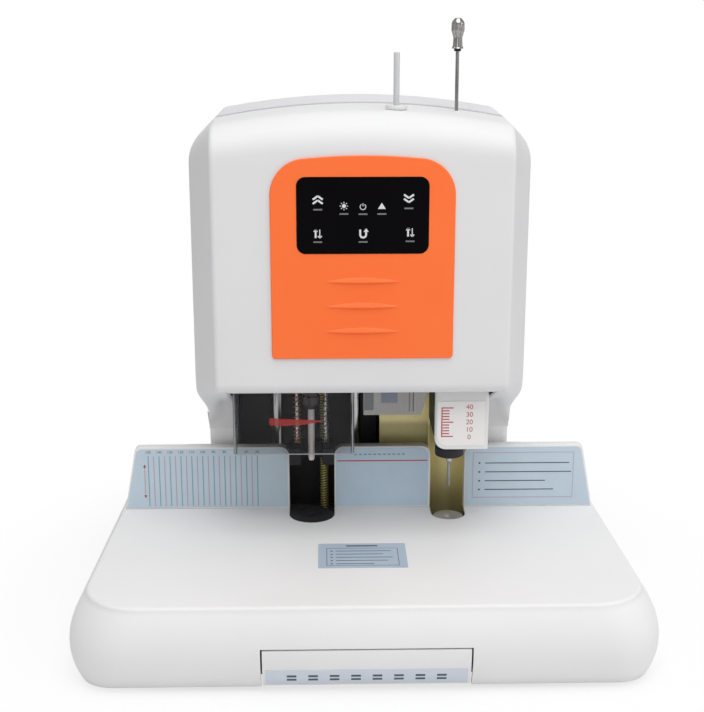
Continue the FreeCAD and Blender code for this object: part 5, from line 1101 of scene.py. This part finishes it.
def neck_ring(level):
    """One level of the neck: a rounded rectangle that widens by half a cosine wave above the flare's
    start."""
    share = np.clip((level - FLARE_FROM) / (NECK_HIGH - FLARE_FROM), 0, 1)
    flare = NECK_FLARE * (0.5 - 0.5 * math.cos(math.pi * share))
    half, back = NECK_HALF + flare, NECK_BACK + flare * BACK_SHARE
    ring = rounded([(-half, 60.0), (-half, NECK_FRONT, FRONT_CORNER), (NECK_OPEN[0], NECK_FRONT),
                    (NECK_OPEN[1], NECK_FRONT), (half, NECK_FRONT, FRONT_CORNER), (half, 60.0), (half, 110.0),
                    (half, back, NECK_CORNER), (INLET_HOLE[1], back), (INLET_HOLE[0], back), (0.0, back),
                    (-60.0, back), (-half, back, NECK_CORNER), (-half, 110.0)], 10)
    return np.column_stack((ring, np.full(len(ring), level)))


neck_levels = np.concatenate(([NECK_LOW, 76.0, 80.0, 92.0, 104.0, 116.0, 128.0, 140.0, 152.0],
                              np.linspace(160, 190, 22)))
neck_rows = [neck_ring(level) for level in neck_levels]
neck_points = np.concatenate(neck_rows)
neck_quads = grid_faces(len(neck_rows), len(neck_rows[0]), wrap_columns=True)
middle = neck_points[neck_quads].mean(1)
in_front = (middle[:, 1] < NECK_FRONT + 1) & (middle[:, 0] > NECK_OPEN[0]) & (middle[:, 0] < NECK_OPEN[1])
in_inlet = ((middle[:, 1] > NECK_BACK - 1) & (middle[:, 0] > INLET_HOLE[0]) & (middle[:, 0] < INLET_HOLE[1])
            & (middle[:, 2] > INLET_HOLE[2]) & (middle[:, 2] < INLET_HOLE[3]))
lay("neck_skin", neck_points, [neck_quads[~(in_front | in_inlet)]], "root", "cover_white", cover_white,
    replaces=("neck_cover",), wall=WALL)

# Head covers.
# Two white shells meet in a seam across the head. The front one has a flat face,
# a crisp crease at each side and an overhanging lip; the rear one stands proud.

HEAD_FRONT, HEAD_SEAM, SEAM_GAP, HEAD_BACK = -70.0, 20.0, 0.4, 165.0
CREASE_X, HEAD_HALF, SHOULDER_STEP, TAPER_Y, BACK_HALF = 123.5, 148.0, 15.0, 70.0, 138.0
LIP_CORNER, LIP_RADIUS, TOP_RADIUS, FRONT_TOP, SEAM_TOP = 208.5, 10.0, 31.0, 440.0, 441.6
CORBEL_FOOT, CORBEL_HALF, CORBEL_IN, CORBEL_BACK = 146.0, 138.1, 112.5, 23.9
COVE_LEVEL, COVE_RADIUS = 170.0, 34.0
HEAD_LOW, BEND_LOW, BEND_HIGH = 190.0, 163.0, 188.0
CROWN, CHAMFER_SUM, CORNER_RADIUS = 1280.0, 554.5, 36.0
CREASE_SEAM_X = CROWN / 2 * (1 - math.sqrt(1 - 4 * (CHAMFER_SUM - SEAM_TOP) / CROWN))
CREASE_SEAM_Z = CHAMFER_SUM - CREASE_SEAM_X

profile = rounded([(CORBEL_BACK, CORBEL_FOOT), (CORBEL_BACK, COVE_LEVEL, COVE_RADIUS),
                   (HEAD_FRONT, LIP_CORNER, LIP_RADIUS), (HEAD_FRONT, FRONT_TOP, TOP_RADIUS),
                   (HEAD_SEAM, SEAM_TOP)], 10, False)
under = np.concatenate((profile[:1], profile[1:12], np.linspace(profile[11], profile[12], 11)[1:-1]))
lip = profile[12:23]
face = np.linspace(profile[22], profile[23], 18)[1:-1]
brow = profile[23:34]
roof = np.linspace(profile[33], profile[34], 14)[1:]
track = np.concatenate((under, lip, face, brow, roof))
rows = len(track)
UNDER, LIP, FACE = len(under), len(under) + len(lip), len(under) + len(lip) + len(face)
row_number = np.arange(rows)
# The outer rim: up the neck's side, out by half a cosine wave, straight up, and round the corner to the seam.
corner_curve = rounded([(HEAD_HALF, 300.0), (HEAD_HALF, CHAMFER_SUM - HEAD_HALF, CORNER_RADIUS),
                        (CREASE_SEAM_X, CREASE_SEAM_Z)], 14, False)[1:]
curve_run = np.concatenate(([0.0], np.cumsum(np.linalg.norm(np.diff(corner_curve, axis=0), axis=1))))
track_run = np.concatenate(([0.0], np.cumsum(np.linalg.norm(np.diff(track, axis=0), axis=1))))
climb = np.interp(track_run, (0.0, track_run[UNDER - 1], track_run[LIP - 1], track_run[FACE - 1]),
                  (CORBEL_FOOT, HEAD_LOW + 4.0, HEAD_LOW + 16.0, corner_curve[0, 1]))
bend = np.clip((climb - BEND_LOW) / (BEND_HIGH - BEND_LOW), 0, 1)
outer = CORBEL_HALF + (HEAD_HALF - CORBEL_HALF) * (0.5 - 0.5 * np.cos(math.pi * bend))
around = np.interp(track_run, (track_run[FACE - 1], track_run[-1]), (0.0, curve_run[-1]))
upper = row_number >= FACE
rim_x = np.where(upper, np.interp(around, curve_run, corner_curve[:, 0]), outer)
rim_z = np.where(upper, np.interp(around, curve_run, corner_curve[:, 1]), climb)
rim_y = np.maximum(HEAD_SEAM, np.where(row_number < UNDER, np.minimum(track[:, 0], CORBEL_BACK), HEAD_SEAM))
BROW_END, CROWN_FROM = HEAD_FRONT + TOP_RADIUS, 380.0
back_share = np.clip((track[:, 0] - BROW_END) / (HEAD_SEAM - BROW_END), 0, 1) * upper
crease_x = CREASE_X + (CREASE_SEAM_X - CREASE_X) * back_share ** 1.5
on_top = np.clip((track[:, 1] - CROWN_FROM) / (FRONT_TOP - CROWN_FROM), 0, 1)


def band_points(x):
    """Points of the middle band at X per row: the side track, lowered at the top by a crown x squared over a
    length."""
    drop = on_top[:, None] * x ** 2 / CROWN
    return np.stack((x, np.broadcast_to(track[:, :1], x.shape), track[:, 1:] - drop), -1)


def curve_round(before, corner, after, shares):
    """Quadratic curve that leaves before towards corner and arrives at after."""
    share = shares[None, :, None]
    return (before[:, None] * (1 - share) ** 2 + corner[:, None] * 2 * share * (1 - share)
            + after[:, None] * share ** 2)


def straight(start, stop, shares):
    """Points at given shares of the straight way from start to stop."""
    share = shares[None, :, None]
    return start[:, None] * (1 - share) + stop[:, None] * share


def toward(start, stop, reach):
    """The point at a distance from start on the way to stop, at most 0.45 of the way."""
    gap = stop - start
    length = np.maximum(np.linalg.norm(gap, axis=1, keepdims=True), 1e-6)
    return start + gap / length * np.minimum(reach, 0.45 * length)


crease = band_points(crease_x[:, None])[:, 0]
rim = np.column_stack((rim_x, rim_y, rim_z))
shoulder = rim.copy()
shoulder[:, 1] = rim_y - SHOULDER_STEP * (rim_y - crease[:, 1]) / (HEAD_SEAM - HEAD_FRONT)
CREASE_REACH, SHOULDER_REACH = 3.5, 7.0
crease_in = band_points((crease_x - CREASE_REACH)[:, None])[:, 0]
crease_out = toward(crease, shoulder, CREASE_REACH)
shoulder_in = toward(shoulder, crease, SHOULDER_REACH)
shoulder_out = toward(shoulder, rim, SHOULDER_REACH)
inner_x = np.concatenate((np.linspace(0, CORBEL_IN, 20), [115.0]))
half_grid = np.concatenate((
    band_points(np.broadcast_to(inner_x, (rows, len(inner_x)))),
    curve_round(crease_in, crease, crease_out, np.linspace(0, 1, 8)),
    straight(crease_out, shoulder_in, np.linspace(0, 1, 10)[1:]),
    curve_round(shoulder_in, shoulder, shoulder_out, np.linspace(0, 1, 8)[1:]),
    straight(shoulder_out, rim, np.linspace(0, 1, 4)[1:])), 1)
mirrored = half_grid[:, :0:-1] * (-1, 1, 1)
front_grid = np.concatenate((mirrored, half_grid), 1)
# Darker copies of the cover white for the head's shells are painted shade; the rear one is darker still for
# the shade on its forward-facing band.
head_white_painted_shade = surface("head_white_painted_shade", (225, 225, 226), (219, 219, 220), grain=4200, cloud=9, satin=0.46,
                     worn=0.1,
                     depth=0.012, scuff=0.06, dust=(216, 215, 212), Specular_IOR_Level=0.35)
rear_white_painted_shade = surface("rear_white_painted_shade", (216, 216, 218), (210, 210, 212), grain=4200, cloud=9, satin=0.5, worn=0.1,
                     depth=0.012, scuff=0.06, dust=(206, 205, 202), Specular_IOR_Level=0.2)
columns = front_grid.shape[1]
front_quads = grid_faces(rows, columns)
middle = front_grid.reshape(-1, 3)[front_quads].mean(1)
under_mouth = (np.abs(middle[:, 0]) < CORBEL_IN) & (front_quads[:, 0] // columns < UNDER)
lay("head_front_skin", front_grid.reshape(-1, 3), [front_quads[~under_mouth]], "root", "cover_white",
    head_white_painted_shade, replaces=("head_front_cover",), wall=WALL)

web_outline = np.vstack((track[:UNDER + 3], ((HEAD_FRONT + 4.0, 214.0), (CORBEL_BACK, 203.0))))
lay("corbel_webs", *gathered([slab(web_outline, low, low + WALL, 0.3, "YZ")
                              for low in (-CORBEL_IN - WALL, CORBEL_IN)]), "root", "cover_white", head_white_painted_shade)

rear_start = HEAD_SEAM + SEAM_GAP
REAR_STEP, RIDGE_Y, RIDGE_TOP, BACK_TOP, BACK_ROUND, RIDGE_RADIUS = 1.2, 70.0, 447.0, 428.0, 35.0, 120.0
rear_track = rounded([(rear_start, SEAM_TOP + REAR_STEP), (RIDGE_Y, RIDGE_TOP, RIDGE_RADIUS),
                      (HEAD_BACK, BACK_TOP)], 12, False)


def rear_section(y, inset):
    """Right half of the rear shell's outline at a depth: up the side, round the corner, over the crown."""
    half = np.interp(y, (TAPER_Y, HEAD_BACK), (HEAD_HALF, BACK_HALF)) - inset
    top = np.interp(y, rear_track[:, 0], rear_track[:, 1])
    chamfer = CHAMFER_SUM + 0.5 * min(top - RIDGE_TOP, 0.0) * (y > RIDGE_Y)
    edge = CROWN / 2 * (1 - math.sqrt(1 - 4 * (chamfer - top) / CROWN)) - inset
    top, chamfer = top - inset, chamfer - 2 * inset
    path = rounded([(half, HEAD_LOW), (half, chamfer - half, min(CORNER_RADIUS, 2.2 * (half - edge))),
                    (edge, top - edge ** 2 / CROWN, 6.0), (edge - 20, top - (edge - 20) ** 2 / CROWN)], 8,
                   False)
    side = np.linspace(path[0], path[1], 8)[:-1]
    x = np.linspace(path[-1, 0], 0, 14)[1:]
    crown = np.column_stack((x, top - x ** 2 / CROWN))
    return np.concatenate((side, path[1:], crown))


rear_y = np.concatenate((np.linspace(rear_start, 45, 6), np.linspace(50, 90, 12), np.linspace(96, 130, 5)))
sections = [(y, rear_section(y, 0.0)) for y in rear_y]
for turn in np.linspace(0, math.pi / 2, 13)[1:]:
    y = HEAD_BACK - BACK_ROUND * (1 - math.sin(turn))
    sections.append((y, rear_section(y, BACK_ROUND * (1 - math.cos(turn)))))
last = sections[-1][1]
for share in (0.9, 0.5, 0.2, 0.0):
    sections.append((HEAD_BACK, last * (share, 1.0)))
rear_half = np.stack([np.column_stack((part[:, 0], np.full(len(part), y), part[:, 1])) for y,
                      part in sections])
rear_grid = np.concatenate((rear_half, rear_half[:, -2::-1] * (-1, 1, 1)), 1)
rear_rows, rear_columns = rear_grid.shape[:2]
lay("head_rear_skin", rear_grid.reshape(-1, 3), [grid_faces(rear_rows, rear_columns)], "root", "cover_white",
    rear_white_painted_shade, replaces=("head_rear_cover",), wall=WALL, merge=0.01)

# Front panel and display.
# An orange fascia with three raised lens-shaped ribs, and the black glass of the
# display with its lit signs.

PANEL_HALF, PANEL_LOW, PANEL_HIGH, PANEL_FRONT = 75.5, 238.0, 407.0, -72.0
arch = np.linspace(1, -1, 25)
top_edge = np.column_stack((45.5 * arch, PANEL_HIGH - 2.2 * arch ** 2))
panel_outline = np.vstack((
    rounded([(-PANEL_HALF, 300.0), (-PANEL_HALF, PANEL_LOW, 3.0), (PANEL_HALF, PANEL_LOW, 3.0),
             (PANEL_HALF, 300.0)], 6, False),
    rounded([(PANEL_HALF, 340.0), (PANEL_HALF, PANEL_HIGH - 2.6, 30.0), (45.0, PANEL_HIGH - 2.2)], 14,
            False)[1:-1], top_edge,
    rounded([(-45.0, PANEL_HIGH - 2.2), (-PANEL_HALF, PANEL_HIGH - 2.6, 30.0), (-PANEL_HALF, 340.0)], 14,
            False)[1:-1]))
panel_orange = surface("panel_orange", (255, 120, 56), (255, 112, 50), grain=3200, cloud=10, satin=0.42,
                       worn=0.08, depth=0.008, scuff=0.03, dust=(250, 150, 105), Specular_IOR_Level=0.3)
lay("fascia", *slab(panel_outline, PANEL_FRONT, HEAD_FRONT, 0.9), "root", "panel_orange", panel_orange,
    replaces=("front_panel",))
RIB_HALF, RIB_TALL, RIB_STAND, RIB_SAG, RIB_LEVELS = 31.0, 2.6, 1.9, 0.9, (262.3, 283.5, 304.6)
along, over = np.meshgrid(np.linspace(-1, 1, 41), np.linspace(-1, 1, 25))
ridge = np.clip((1 + over) / 0.45, 0, 1) * np.clip((1 - over) / 1.4, 0, 1) ** 0.8
for number, level in enumerate(RIB_LEVELS):
    lens = 1 - along ** 2
    rib = np.stack((RIB_HALF * along, PANEL_FRONT + 0.02 - RIB_STAND * lens ** 0.7 * ridge,
                    level + RIB_TALL * lens * over - RIB_SAG * along ** 2), -1)
    lay("fascia_rib_%d" % (number + 1), rib.reshape(-1, 3), [grid_faces(25, 41)], "root", "panel_orange",
        panel_orange, wall=0.5)
glass_black = surface("glass_black", (8, 6, 8), (4, 3, 5), grain=300, cloud=20, satin=0.12, worn=0.05,
                      depth=0.0, scuff=0.03, dust=(40, 40, 42), Specular_IOR_Level=0.04)
WINDOW = (-54.0, 54.0, 327.0, 390.0, 7.5)
window_face = PANEL_FRONT - 0.5
lay("display_glass", *slab(box_outline(*WINDOW, 10), window_face, HEAD_FRONT, 0.4), "root", "window_black",
    glass_black, replaces=("display_window",))


def stroke(path, wide, closed=False):
    """A drawn line: a flat ribbon along a path, as thick as the ink."""
    path = np.asarray(path, float)
    ahead = np.gradient(path, axis=0) if not closed else np.roll(path, -1, 0) - np.roll(path, 1, 0)
    ahead /= np.linalg.norm(ahead, axis=1)[:, None]
    side = np.column_stack((-ahead[:, 1], ahead[:, 0])) * wide / 2
    count = len(path)
    loops = [np.column_stack((spots[:, 0], np.full(count, y), spots[:, 1]))
             for y, spots in ((window_face - INK, path - side), (window_face - INK, path + side),
                              (window_face + INK, path + side), (window_face + INK, path - side))]
    faces = [grid_faces(4, count, wrap_rows=True, wrap_columns=closed)]
    if not closed:
        faces += [[[0, count, 2 * count, 3 * count]],
                  [[4 * count - 1, 3 * count - 1, 2 * count - 1, count - 1]]]
    return np.concatenate(loops), faces


def run(*corners):
    """Points along straight runs between corners."""
    corners = np.asarray(corners, float)
    return np.concatenate([np.linspace(a, b, 5)[:-1] for a, b in zip(corners, corners[1:])] + [corners[-1:]])


def sector(x, z, radius, start, stop, count=20):
    """Points along an arc, angles in degrees."""
    angle = np.radians(np.linspace(start, stop, count))
    return np.column_stack((x + radius * np.cos(angle), z + radius * np.sin(angle)))


# Two double chevrons, a lamp, a power sign, a peak, two pairs of arrows and a turning arrow, each in mm.
signs = []
for x, z, up in ((-36.5, 371.6, 1), (37.3, 372.4, -1)):
    for shift in (-1.7, 1.7):
        tip = z + shift + 1.3 * up
        signs += [stroke(run((x + side * 4.0, tip - 2.8 * up), (x, tip)), 1.5) for side in (-1, 1)]
SUN, POWER, PEAK, TURN = (-15.3, 366.5), (0.1, 365.8), (15.4, 366.3), (0.3, 343.8)
signs.append(stroke(sector(*SUN, 0.8, 0, 342), 1.6, True))
for beam in range(8):
    heading = np.array((math.cos(beam * math.pi / 4), math.sin(beam * math.pi / 4)))
    signs.append(stroke(run(SUN + heading * 2.3, SUN + heading * 3.4), 0.6))
signs += [stroke(sector(*POWER, 2.3, 125, 415), 0.6),
          stroke(run((POWER[0], POWER[1] + 0.4), (POWER[0], POWER[1] + 3.0)), 0.6)]
signs.append(slab([(PEAK[0] - 3.2, PEAK[1] - 2.3), (PEAK[0] + 3.2, PEAK[1] - 2.3), (PEAK[0], PEAK[1] + 2.7)],
                  window_face - INK, window_face + INK, 0.02))
for x, z in ((-36.7, 343.8), (38.6, 344.7)):
    for shift, up, wide in ((-1.7, 1, 1.5), (1.7, -1, 0.8)):
        tip = z + 3.6 * up
        signs += [stroke(run((x + shift, z - 3.4 * up), (x + shift, tip)), wide),
                  stroke(run((x + shift - 1.5, tip - 1.8 * up), (x + shift, tip)), 0.9),
                  stroke(run((x + shift + 1.5, tip - 1.8 * up), (x + shift, tip)), 0.9)]
bend = np.vstack(((TURN[0] - 2.4, TURN[1] + 3.4), sector(TURN[0], TURN[1] - 0.8, 2.4, 180, 360, 16),
                  (TURN[0] + 2.4, TURN[1] + 1.6)))
signs += [stroke(bend, 1.5), slab([(TURN[0] + 0.2, TURN[1] + 1.4), (TURN[0] + 4.6, TURN[1] + 1.4),
                                   (TURN[0] + 2.4, TURN[1] + 4.4)], window_face - INK, window_face + INK,
                                  0.02)]
sign_white = surface("sign_white", (226, 228, 230), (206, 208, 212), satin=0.4, depth=0.0)
lay("display_signs", *gathered(signs), "root", "printed_film", sign_white)
sign_grey = surface("sign_grey", (120, 121, 124), (104, 105, 108), satin=0.4, depth=0.0)
RULE_SPOTS = ((-36.5, 363.6), (37.3, 364.4), (-15.3, 360.0), (0.1, 359.8), (15.4, 359.9), (-36.7, 337.0),
              (0.3, 337.0), (38.6, 337.4))
RULE_WIDE, RULE_TALL = 3.6, 0.6
lay("display_rules", *gathered([bar(x - RULE_WIDE, x + RULE_WIDE, z - RULE_TALL, z + RULE_TALL, window_face)
                                for x, z in RULE_SPOTS]), "root", "printed_film", sign_grey)

# Top bushes.
# The dished funnel that takes the end of the tube, and the small bush of the
# locating rod, both turned from white plastic.

bush_white = surface("bush_white", (232, 232, 232), (220, 220, 220), grain=1600, stretch=(0.02, 0.02, 1.0),
                     satin=0.3, worn=0.1)
FUNNEL = [(2.6, 432.0), (4.5, 432.0), (4.5, 438.5, 0.6), (9.0, 440.6, 0.8), (9.0, 443.6, 0.6),
          (8.2, 443.9, 0.3),
          (7.4, 442.6, 1.2), (2.6, 440.4)]
ROD_BUSH = [(1.6, 431.0), (4.0, 431.0), (4.0, 436.9, 0.5), (1.6, 436.9, 0.3)]
funnel = turned(rounded(FUNNEL, 5), TUBE_X, TUBE_Y, 56, closed=True)
bush = turned(rounded(ROD_BUSH, 4), RIVET_X, STATION_Y, 40, closed=True)
lay("top_bushes_turned", *gathered([funnel, bush]), "root", "bush_bronze", bush_white,
    replaces=("top_bushes",))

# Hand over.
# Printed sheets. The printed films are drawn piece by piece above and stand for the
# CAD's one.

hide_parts("printed_sheets")
